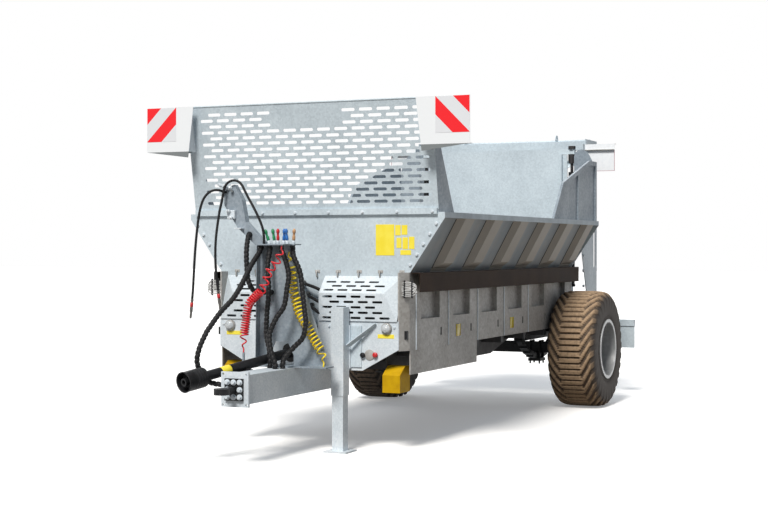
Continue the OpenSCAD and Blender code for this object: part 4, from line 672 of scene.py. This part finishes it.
# %% [markdown]
# ## Warning boards
# Each board carries a square with red stripes at 45 degrees that fall towards the road's edge. The stripes
# could be strips laid on the board; a sharp step in the colour does the same with no edges to flicker. The
# square is its own thin plate, and its stripes are cut from Object coordinates, so they stay put in every
# view.


# %% Stripes
def striped(name, side, corner):
    """Red where the fraction of (corner - height - side * across) / square is under a half, else white;
    corner is the sum of height and distance out at the board's outer top corner, where a stripe starts."""
    material, tree, place = new_material(name)
    part = split(tree, place)
    slant = calc(tree, "MULTIPLY_ADD", part["Y"], side, part["Z"])
    count = calc(tree, "MULTIPLY_ADD", slant, -1 / square, corner / square)
    red = calc(tree, "LESS_THAN", calc(tree, "FRACT", count), 0.5)
    surface(tree, mix(tree, red, linear("#dde1e6"), linear("#ee1520")), 0.35)
    return material


square = 0.283
board_x, board_y, board_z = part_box("front_boards")[1]
for hand, side in hands:
    stripes = striped("striped_sheet_" + hand, side, board_y + board_z)
    y = np.sort(side * np.array([board_y - square, board_y - 0.004]))
    low = np.array([board_x - 0.001, y[0], board_z - square])
    high = np.array([board_x + 0.0015, y[1], board_z - 0.003])
    piece("stripes_" + hand, [box_bar(low, high, 0.0005)], stripes, smooth=False)


# %% Two-tone finishes, one of them a painted shade
def split_by_height(name, above, below, height):
    """One colour above a height in metres and another below it: for a folded plate whose lower facet is
    painted grey as shade, or a sleeved rod.
    """
    material, tree, place = new_material(name)
    share = calc(tree, "GREATER_THAN", split(tree, place)["Z"], height)
    surface(tree, mix(tree, share, linear(below), linear(above)), 0.45)
    return material


fold_z, sleeve_z = board_z - 0.368, 2.30
# The board's grey below fold_z is painted shade on its folded facet; the rod's black sleeve is its own
# colour.
board_with_shaded_fold = split_by_height("white_board_with_painted_shade_on_fold", "#e9eef2", "#747a7c", fold_z)
sleeved_rod = split_by_height("chrome_rod_with_black_sleeve", "#1f1d1f", "#c8ccd0", sleeve_z)
print("boards fold under at", round(fold_z, 3), "m")

# %% [markdown]
# ## Bolts
# Bolt heads tell the eye how big the machine is. Copies of one bolt object would each need a place of their
# own; here one function makes a whole row: a washer and a hexagon with its corners taken off, written as
# one small grid and copied to every place at once.


# %% Bolt heads
def bolt_rows(places, normal, size):
    """Grid of rings for each place: two washer rings, then three hexagon rings, whose radius is half the size
    over the cosine of the angle to the nearest flat."""
    places = np.asarray(places, float).reshape(-1, 3)
    normal = unit(np.asarray(normal, float))
    hexagon = size / 2 / np.cos((circle(12) % (np.pi / 3)) - np.pi / 6)
    washer = np.full(12, 0.78 * size)
    rings = np.stack([washer, 0.95 * washer, hexagon, hexagon, 0.82 * hexagon])
    lift = np.array([-0.002, 0.14 * size, 0.14 * size, 0.58 * size, 0.68 * size])
    shape = rings[..., None] * round_axis(normal, [0.23, 0.71, 0.66], 12) + lift[:, None, None] * normal
    points = places[:, None, None, :] + shape[None]
    count = rings.size
    start = count * np.arange(len(places))
    faces = (grid_faces(5, 12, wrap_columns=True)[None] + start[:, None, None]).reshape(-1, 4).tolist()
    faces += (np.arange(count - 12, count)[None] + start[:, None]).tolist()
    return points.reshape(-1, 3), faces


def line_up(start, end, count):
    """Even places from start to end, both given from the axle."""
    t = np.linspace(0, 1, count)[:, None]
    return from_axle(*start) * (1 - t) + from_axle(*end) * t


print("a bolt head has", len(bolt_rows([[0, 0, 0]], (0, 0, 1), 0.02)[0]), "points")

# %% Rows of bolts
ahead = (1, 0, 0)
wall_x, foot_x, plate_x, hitch_x = 3.978, 4.003, 4.088, 5.280
wall_bolt, foot_bolt, plate_bolt, hitch_bolt, cheek_bolt = 0.022, 0.020, 0.016, 0.030, 0.024
hitch_z, hitch_reach = 0.5725, 0.054
cheek_x, cheek_y = -0.47, 0.958
wall_lines = [line_up((wall_x, side * 0.855, 1.475), (wall_x, side * 1.075, 1.80), 5) for side in mirrored]
foot_line = line_up((foot_x, -1.05, 1.893), (foot_x, 1.05, 1.893), 8)
plate_lines = [line_up((plate_x, side * 0.20, 0.985), (plate_x, side * 0.765, 0.985), 2) for side in mirrored]
hitch_lines = [line_up((hitch_x, y, hitch_z - hitch_reach), (hitch_x, y, hitch_z + hitch_reach), count)
               for y, count in ((-0.052, 3), (0.0, 2), (0.052, 3))]
front_rows = [bolt_rows(line, ahead, wall_bolt) for line in wall_lines]
front_rows.append(bolt_rows(foot_line, ahead, foot_bolt))
front_rows += [bolt_rows(line, ahead, plate_bolt) for line in plate_lines]
hitch_rows = [bolt_rows(line, ahead, hitch_bolt) for line in hitch_lines]
cheek_ends = ((cheek_x, 1.05, cheek_x, 1.85, 6), (-0.95, 2.70, -0.89, 2.70, 2))
cheek_rows = [bolt_rows(line_up((x, side * cheek_y, z), (x2, side * cheek_y, z2), count), (0, side, 0),
                        cheek_bolt) for x, z, x2, z2, count in cheek_ends for side in mirrored]
for name, rows in (("front_bolts", front_rows), ("hitch_bolts", hitch_rows), ("adapter_bolts", cheek_rows)):
    piece(name, rows, zinc_fresh_lit, smooth=False)

# %% Wheel nuts
nut_count, nut_ring, nut_face, nut_size = 10, 0.1375, axle[1] - 0.034, 0.032
for hand, side in hands:
    angle = circle(nut_count)
    ring = np.stack([axle[0] + nut_ring * np.cos(angle), np.full(nut_count, side * nut_face),
                     axle[2] + nut_ring * np.sin(angle)], -1)
    piece("wheel_nuts_" + hand, [bolt_rows(ring, (0, side, 0), nut_size)], bare_steel,
          "wheel_" + hand, smooth=False)

# %% [markdown]
# ## Small things on the front
# Blank yellow plates, dark sheets behind the guards that paint the shade inside them, a row of hooks along
# the wall's lower edge, a stay, two knobs and a blank dial. They are too small and thin to matter to the
# solids, so they are made here, each a rounded bar, a bent rod or a turned knob, set on the sheet that
# carries it.


# %% Blank plates
def thin_plates(face, spans):
    """Plates 2 mm proud of a face that looks ahead, one for each (across, across, height, height) span."""
    return [box_at((face - 0.001, y0, z0), (face + 0.002, y1, z1), 0.001) for y0, y1, z0, z1 in spans]


wall_spans = [(0.556, 0.716, 1.549, 1.795), (0.724, 0.771, 1.707, 1.790), (0.779, 0.829, 1.712, 1.789),
              (0.735, 0.778, 1.608, 1.689), (0.787, 0.834, 1.600, 1.692), (0.842, 0.889, 1.600, 1.697),
              (0.769, 0.860, 1.553, 1.592)]
lamp_spans = [(y, y + 0.14, 0.898, 0.930) for y in (0.622, -0.738)]
plates = thin_plates(wall_x, wall_spans) + thin_plates(plate_x, lamp_spans)
piece("blank_yellow_plates", plates, sign_yellow, smooth=False)

# %% Painted shade: dark sheets behind the guards
guard_inner, guard_outer = 0.175, 0.660
backs = []
for side in mirrored:
    inner, outer = side * guard_inner, side * guard_outer
    backs.append(box_at((4.058, inner, 1.034), (4.063, outer, 1.236), 0.001))
    backs.append(bar(from_axle(4.027, inner, 1.276), from_axle(4.027, outer, 1.276), 0.125, 0.004, 0.001,
                     up=(0.742, 0.0, 0.670)))
piece("guard_shade_sheets", backs, chassis_black, smooth=False)

# %% Hooks on the wall's lower edge
hook = np.array([[0.0, 0.0, 0.030], [0.010, 0.0, 0.030], [0.020, 0.0, 0.024], [0.024, 0.0, 0.012],
                 [0.023, 0.0, -0.004], [0.017, 0.0, -0.014], [0.008, 0.0, -0.017], [0.001, 0.0, -0.012]])
hook_z = 1.392
hooks = []
for y in np.linspace(-0.70, 0.783, 9):
    path = even_route(smooth_route(hook, 6), 0.004) + from_axle(wall_x, y, hook_z)
    hooks.append(tube(path, 0.0055, 8, (0.0, 1.0, 0.0)))
    low, high = (wall_x - 0.001, y - 0.022, hook_z + 0.016), (wall_x + 0.005, y + 0.022, hook_z + 0.040)
    hooks.append(box_at(low, high, 0.002))
piece("cover_hooks", hooks, zinc_shade)

# %% Stay, knobs and dial
stay = [bar(from_axle(4.160, 0.392, 0.835), from_axle(plate_x + 0.004, 0.612, 1.008), 0.008, 0.060, 0.003,
            up=(1.0, 0.0, 0.4)),
        box_at((plate_x - 0.001, 0.390, 0.665), (plate_x + 0.012, 0.486, 0.995), 0.004)]
piece("leg_stay", stay, zinc, smooth=False)
knob = np.array([[0.017, -0.002], [0.017, 0.010], [0.021, 0.014], [0.021, 0.022], [0.016, 0.028],
                 [0.004, 0.030]])
dial = np.array([[0.044, -0.002], [0.044, 0.003], [0.041, 0.005], [0.012, 0.005]])
for name, profile, y, z, sides, material, slot in (
        ("red_knob", knob, 0.606, 0.767, 24, red_plastic, "guard_plastic"),
        ("black_knob", knob, 0.498, 0.763, 24, guard_black, "guard_plastic"),
        ("blank_dial", dial, 0.552, 0.765, 32, zinc_shade, "galvanised")):
    piece(name, [turned(profile, from_axle(plate_x, y, z), ahead, sides)], material)

# %% [markdown]
# ## Small things on the sides
# Each side has two yellow markers, a strip of painted highlight on the folded edge of every post and a dark
# plug of painted shade in the slot beside it. Each is a thin rounded bar on the sheet, repeated at the posts'
# own pitch and mirrored, so that both sides match.

# %% Side markers, painted post-edge highlights and painted slot shade
skin_y, post_count, edge_first, slot_first, slot_z = 0.851, 5, 3.859, 4.018, 0.925
markers, edge_highlights, shade_plugs = [], [], []
for x in (2.925, 1.530):
    markers += box_pair((x - 0.050, skin_y, 0.862), (x + 0.050, skin_y + 0.007, 0.965), 0.003)
for i in range(post_count):
    edge_x, slot_x = edge_first - rib_pitch * i, slot_first - rib_pitch * i
    edge_highlights += box_pair((edge_x - 0.007, skin_y, 0.800), (edge_x + 0.007, skin_y + 0.008, 1.252), 0.002)
    shade_plugs += box_pair((slot_x - 0.0165, 0.800, slot_z - 0.032), (slot_x + 0.0165, 0.848, slot_z + 0.032),
                      0.002)
piece("side_markers", markers, lens_yellow)
piece("post_edge_highlights", edge_highlights, zinc_fresh_lit, smooth=False)
piece("slot_shade_plugs", shade_plugs, guard_black, smooth=False)

# %% [markdown]
# ## Painted shade in the seams under the flare
# Each pressed rib meets the flared sheet in a sharp inner corner that lies in shade. The finish alone would
# blur that shade, so a thin dark strip along the rib's front edge paints it as a line, laid on the sheet's
# own lean.

# %% Seams
flare_foot, flare_head = np.array([0.0, 0.852, 1.415]), np.array([0.0, 1.085, 1.845])
lean = unit(flare_head - flare_foot)
out = np.array([0.0, lean[2], -lean[1]])
seams = []
for side in mirrored:
    for i in range(6):
        rib_edge = np.array([rib_first - rib_pitch * i + rib_half, 0.0, 0.0])
        start = rib_edge + flare_foot + 0.034 * lean + 0.001 * out
        end = rib_edge + flare_head - 0.004 * lean + 0.001 * out
        start, end = (from_axle(q[0], side * q[1], q[2]) for q in (start, end))
        seams.append(bar(start, end, 0.016, 0.004, 0.0015, up=(0.0, side * out[1], out[2])))
piece("rib_seam_shade", seams, seam_shade, smooth=False)

# %% [markdown]
# ## Couplers on the stand
# The ends of the hoses are parked on the shelf in coloured sleeves, so that each finds its own socket
# again. Plain cylinders would look like pegs; every sleeve is one turned profile with a grip ring and a
# cap, in four colours.

# %% Couplers
sleeve = np.array([[0.009, 0.028], [0.0125, 0.032], [0.0125, 0.058], [0.0095, 0.064], [0.0095, 0.084],
                   [0.0135, 0.088], [0.0135, 0.106], [0.010, 0.112], [0.006, 0.120]])
nipple = np.array([[0.013, -0.001], [0.016, 0.003], [0.016, 0.020], [0.011, 0.024], [0.009, 0.034]])
shelf_z = 1.640
coupler_places = {"green": [(4.440, -0.150, -0.30), (4.455, -0.095, -0.12)], "red": [(4.470, -0.060, 0.05)],
                  "blue": [(4.440, -0.025, 0.10), (4.455, 0.015, -0.05)], "tan": [(4.440, 0.060, 0.12)]}
coupler_finish = {"green": green_plastic, "red": red_plastic, "blue": blue_plastic, "tan": tan_plastic}


def on_shelf(profile, places, sides):
    """The profile turned at each (ahead, across, lean) place on the shelf."""
    return [turned(profile, from_axle(x, y, shelf_z), (0.12, tilt, 1.0), sides) for x, y, tilt in places]


for colour, places in coupler_places.items():
    made = piece("couplers_" + colour, on_shelf(sleeve, places, 20), coupler_finish[colour])
    if colour == "blue":
        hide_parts("couplers")
nipples = on_shelf(nipple, sum(coupler_places.values(), []), 6)
piece("coupler_nipples", nipples, zinc_fresh_lit, smooth=False)

# %% Fittings on the arm
fitting = np.array([[0.008, 0.0], [0.013, 0.002], [0.013, 0.018], [0.009, 0.021], [0.009, 0.030],
                    [0.0145, 0.033], [0.0145, 0.052], [0.010, 0.057], [0.010, 0.066]])
arm_x = 4.465
arm_back = arm_x - 0.001
fittings = [turned(fitting, from_axle(arm_back, y, z), way, 14) for y, z, way in (
    (-0.500, 2.075, (0.9, -0.5, 0.4)), (-0.535, 2.085, (0.5, -0.8, 0.5)), (-0.470, 2.060, (1.0, 0.1, 0.5)),
    (-0.472, 1.890, (1.0, -0.3, 0.2)), (-0.452, 1.855, (1.0, -0.2, -0.2)))]
fittings += [box_at((arm_back, -0.505, 1.838), (arm_x + 0.030, -0.435, 1.908), 0.006),
             box_at((arm_back, -0.425, 1.757), (arm_x + 0.060, -0.362, 1.767), 0.003)]
piece("arm_fittings", fittings, zinc_fresh_lit, smooth=False)

# %% [markdown]
# ## Shaft guard
# The drive shaft runs in a black guard with a blank yellow band, and an open bell covers the joint at its
# end. The band and the bell's ribs are turned about the shaft's own line; the bell is a ring, so that one
# can look into it.

# %% Shaft band and bell
shaft_from, shaft_to = from_axle(4.200, 0.0, 0.800), from_axle(5.320, -0.346, 0.629)
shaft_way = shaft_to - shaft_from
band = np.array([[0.0376, 0.660], [0.0384, 0.664], [0.0384, 0.736], [0.0376, 0.740]])
band = band * [1, np.linalg.norm(shaft_way)]
piece("guard_band", [turned(band, shaft_from, shaft_way, 32)], sign_yellow)
rib = np.array([[0.0752, 0.0], [0.0770, 0.003], [0.0770, 0.007], [0.0752, 0.010]])
ribs = [turned(rib + [0.0, start], shaft_to, -shaft_way, 40) for start in (0.004, 0.030, 0.056, 0.082, 0.108)]
piece("bell_ribs", ribs, guard_black)
shell = np.array([[0.070, -0.020], [0.0765, -0.018], [0.0765, 0.052], [0.0790, 0.054], [0.0790, 0.062],
                  [0.0745, 0.062], [0.0720, 0.052], [0.0700, 0.0005]])
piece("open_bell", [shell_ring(shell, shaft_to, shaft_way)], guard_black)

# %% [markdown]
# ## Front lamps
# Each round lamp has a plated bezel and a stepped lens. Real glass would need its inside built too; a dull,
# pale dome reads the same at this size. Its rings are ridges, a cosine laid on the dome's height.

# %% Front lamps
ring_at = np.linspace(0, 1, 25)
lens_r, lens_deep, ridge = 0.036, 0.022, 0.0012
lens = np.stack([lens_r * np.sqrt(1 - ring_at**2 * 0.98),
                 lens_deep + lens_deep * ring_at + ridge * np.cos(ring_at * 40)], -1)
bezel = np.array([[0.0445, -0.001], [0.0445, 0.012], [0.0420, 0.020], [0.0390, 0.026], [0.0350, 0.026],
                  [0.0350, 0.016]])
lamp_places = [from_axle(plate_x, side * 0.700, 0.976) for side in mirrored]
lenses = piece("front_lamp_lenses", [turned(lens, q, ahead) for q in lamp_places], lens_white)
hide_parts("front_lamps")
piece("front_lamp_bezels", [turned(bezel, q, ahead) for q in lamp_places], zinc_shade)

# %% [markdown]
# ## Lines between the wall and the guards
# Short pressure lines leave the wall and dive under the guards. They are held at both ends, so each is a
# plain tube along a smooth route, with a turned nut where it starts.

# %% Short lines and their nuts
nut = np.array([[0.012, 0.0], [0.017, 0.003], [0.017, 0.026], [0.013, 0.030], [0.013, 0.044]])
short_routes = [
    [(3.980, -0.075, 1.330), (4.020, -0.070, 1.330), (4.050, -0.020, 1.315), (4.055, 0.060, 1.290),
     (4.040, 0.115, 1.262), (4.000, 0.140, 1.240)],
    [(3.980, -0.040, 1.240), (4.030, -0.035, 1.238), (4.070, 0.010, 1.222), (4.080, 0.080, 1.190),
     (4.070, 0.125, 1.160), (4.040, 0.150, 1.140)],
    [(3.980, 0.000, 1.150), (4.040, 0.005, 1.148), (4.085, 0.040, 1.135), (4.095, 0.090, 1.105),
     (4.080, 0.130, 1.075), (4.050, 0.150, 1.060)]]
short_paths = [even_route(smooth_route([from_axle(*q) for q in r], 10), 0.008) for r in short_routes]
piece("short_pressure_lines", [tube(path, 0.013) for path in short_paths], hose_black)
short_nuts = [turned(nut, from_axle(*r[0]), ahead, 12) for r in short_routes]
piece("short_line_nuts", short_nuts, bare_steel)

# %% [markdown]
# ## Tied cable at the front corners
# A spare length of cable is wound into a flat bundle and tied to each front corner of the side. Rings laid
# side by side would look too neat, so the bundle is one path: an oval wound five times, each turn a little
# beside the last.

# %% Tied cable
turns = np.linspace(0, 5, 5 * 36)
angle = 2 * np.pi * turns
wobble, oval_wide, oval_high, turn_step = 0.004, 0.066, 0.030, 0.014
wide = oval_wide + 0.006 * np.sin(2.3 * turns)
wound = np.stack([wobble * np.sin(1.7 * angle), wide * np.cos(angle),
                  oval_high * np.sin(angle) + turn_step * (turns - 2.5)], -1)
tie_half = np.array([0.010, 0.006, 0.070])
bundles, ties = [], []
for side in mirrored:
    middle = from_axle(4.052, side * 0.866, 1.285)
    bundles.append(tube(middle + wound, 0.0048, 8, (1.0, 0.0, 0.0)))
    tie_middles = [middle + np.array([0.0, y, 0.0]) for y in (-0.030, 0.034)]
    ties += [box_bar(q - tie_half, q + tie_half, 0.004) for q in tie_middles]
piece("tied_cable", bundles, cable_grey)
piece("cable_ties", ties, guard_black)

# %% [markdown]
# ## Rear corners
# A rounded plate closes each rear corner between the wing and the gate, and a light angle stiffens each
# rear board, whose outer and lower edges carry a thin coloured line. The plate is an outline carried
# through its thickness.


# %% Corner plates and board trim
def plate_yz(outline, low_x, high_x):
    """Outline of (across, height) points, counter-clockwise from ahead, carried between two x and capped."""
    outline = np.asarray(outline, float)
    middle = np.full((len(outline), 1), axle_x)
    return capped(np.stack([np.concatenate([middle + x, outline], -1) for x in (low_x, high_x)]))


corner = np.array([(0.880, 1.886), (1.104, 1.886), (1.104, 2.440), (1.072, 2.530), (1.040, 2.592),
                   (1.004, 2.630), (0.965, 2.646), (0.925, 2.640), (0.895, 2.615), (0.880, 2.575)])
corners = [plate_yz(outline, -0.4095, -0.4055) for outline in (corner, (corner * [-1, 1])[::-1])]
piece("corner_plates", corners, zinc_blue_shade, smooth=False)
trim_x, trim_in, trim_out, trim_low = -0.545, 0.962, 1.274, 2.421
back, front = trim_x - 0.001, trim_x + 0.001
angles = box_pair((back, trim_in, 2.640), (trim_x + 0.030, 1.278, 2.648), 0.002)
lines = box_pair((back, trim_out, trim_low), (front, trim_out + 0.0055, 2.636), 0.0005)
lines += box_pair((back, trim_in, trim_low - 0.0005), (front, trim_out, trim_low + 0.004), 0.0005)
piece("rear_board_angles", angles, zinc_shade, smooth=False)
piece("rear_board_lines", lines, faded_red, smooth=False)

# %% [markdown]
# ## A finish for each node
# The CAD's own plates keep their shapes and take a finish from the list, by name. Most are zinc, so only the
# others are listed: lighter zinc as painted light in front, darker zinc as painted shade at the sides and on
# the wings, black paint below with dark steel as painted shade on the beams, and paint or plastic where the
# machine has it.

# %% Finish for each node
node_names = {
    zinc_fresh_lit: ("front_plates", "guard_left", "guard_right", "drawbar", "leg_sleeve", "leg_tube"),
    zinc_shade: ("front_sills", "side_left", "side_right", "floor_deck"),
    zinc_blue_shade: ("hose_stand", "wing_left", "wing_right", "screen_returns"),
    flare_zinc: ("flare_left", "flare_right"),
    chassis_black: ("axle", "leaf_springs", "spring_clamps", "spring_hangers", "hub_left", "hub_right",
                    "gate_cylinders", "drive_line", "hitch_eye"),
    dark_steel: ("main_beams", "cross_members"),
    bare_steel: ("floor_chain", "conveyor_shafts"),
    coated_black: ("skirt_left", "skirt_right"),
    silver_paint: ("rim_left", "rim_right"),
    board_with_shaded_fold: ("front_boards",),
    board_white: ("rear_boards",),
    lens_white: ("front_lamps",),
    lens_red: ("rear_lamps",),
    sleeved_rod: ("gate_rods",),
    guard_black: ("cardan_shaft",),
    blue_plastic: ("couplers",),
    chock_plastic: ("chocks",)}
finish = {name: material for material, names in node_names.items() for name in names}
for name, node in nodes.items():
    node.data.materials.clear()
    node.data.materials.append(finish.get(name, zinc))
print("finished", len(nodes), "nodes,", len(finish), "of them not plain zinc")

# %% [markdown]
# ## Floor and light
# The machine stands on a pale floor in soft light. The sun stands high and almost straight ahead, so the
# front is bright, light only grazes the left side, and the flare's shade lies on it, as in the photograph.
# A white floor would light the underside too much, so bounced light meets a darker ground than the one that
# the camera sees.


# %% Floor
def seen_directly(tree):
    """1 for a ray from the camera, off a gloss or through a clear piece, 0 for light that bounces."""
    ray = add(tree, "ShaderNodeLightPath").outputs
    shown = calc(tree, "MAXIMUM", ray["Is Camera Ray"], ray["Is Glossy Ray"])
    return calc(tree, "MAXIMUM", shown, ray["Is Transmission Ray"])


floor_mesh = bpy.data.meshes.new("floor")
reach = 90.0
floor_corners = [(-reach, -reach, 0), (reach, -reach, 0), (reach, reach, 0), (-reach, reach, 0)]
floor_mesh.from_pydata(floor_corners, [], [(0, 1, 2, 3)])
place_in_scene("floor", floor_mesh)
floor_paint, tree, _ = new_material("pale_studio_floor")
matt = add(tree, "ShaderNodeBsdfDiffuse", {"Color": linear("#f8f8f7")})
haze = add(tree, "ShaderNodeEmission", {"Color": linear("#ffffff"), "Strength": 0.24})
pale = add(tree, "ShaderNodeAddShader", {0: matt.outputs[0], 1: haze.outputs[0]})
ground = add(tree, "ShaderNodeBsdfDiffuse", {"Color": linear("#7a7167")})
grounds = {"Fac": seen_directly(tree), 1: ground.outputs[0], 2: pale.outputs[0]}
both = add(tree, "ShaderNodeMixShader", grounds)
add(tree, "ShaderNodeOutputMaterial", {"Surface": both.outputs[0]})
floor_mesh.materials.append(floor_paint)
print("floor laid")

# %% World
world = bpy.data.worlds.new("studio")
bpy.context.scene.world = world
world.use_nodes = True
tree = world.node_tree
tree.nodes.clear()
white = add(tree, "ShaderNodeBackground", {"Color": linear("#ffffff"), "Strength": 1.0})
sky = add(tree, "ShaderNodeBackground", {"Color": linear("#cfe0f4"), "Strength": 0.26})
both = add(tree, "ShaderNodeMixShader", {"Fac": seen_directly(tree), 1: sky.outputs[0], 2: white.outputs[0]})
add(tree, "ShaderNodeOutputWorld", {"Surface": both.outputs[0]})
print("sky set")


# %% Suns
def add_sun(name, energy, wide, towards, colour="#ffffff"):
    """Sun that looks so many degrees wide and stands in the direction given."""
    data = bpy.data.lights.new(name, "SUN")
    data.energy = energy
    data.angle = math.radians(wide)
    data.color = linear(colour)[:3]
    x, y, z = unit(np.array(towards))
    place_in_scene(name, data).rotation_euler = (math.acos(z), 0.0, math.atan2(y, x) + math.pi / 2)


add_sun("sun", 3.9, 16, (0.69, 0.045, 0.72), "#fffaf4")
add_sun("fill", 1.1, 60, (-0.66, -0.45, 0.60))
bpy.context.scene.view_settings.view_transform = "Standard"
print("light set")
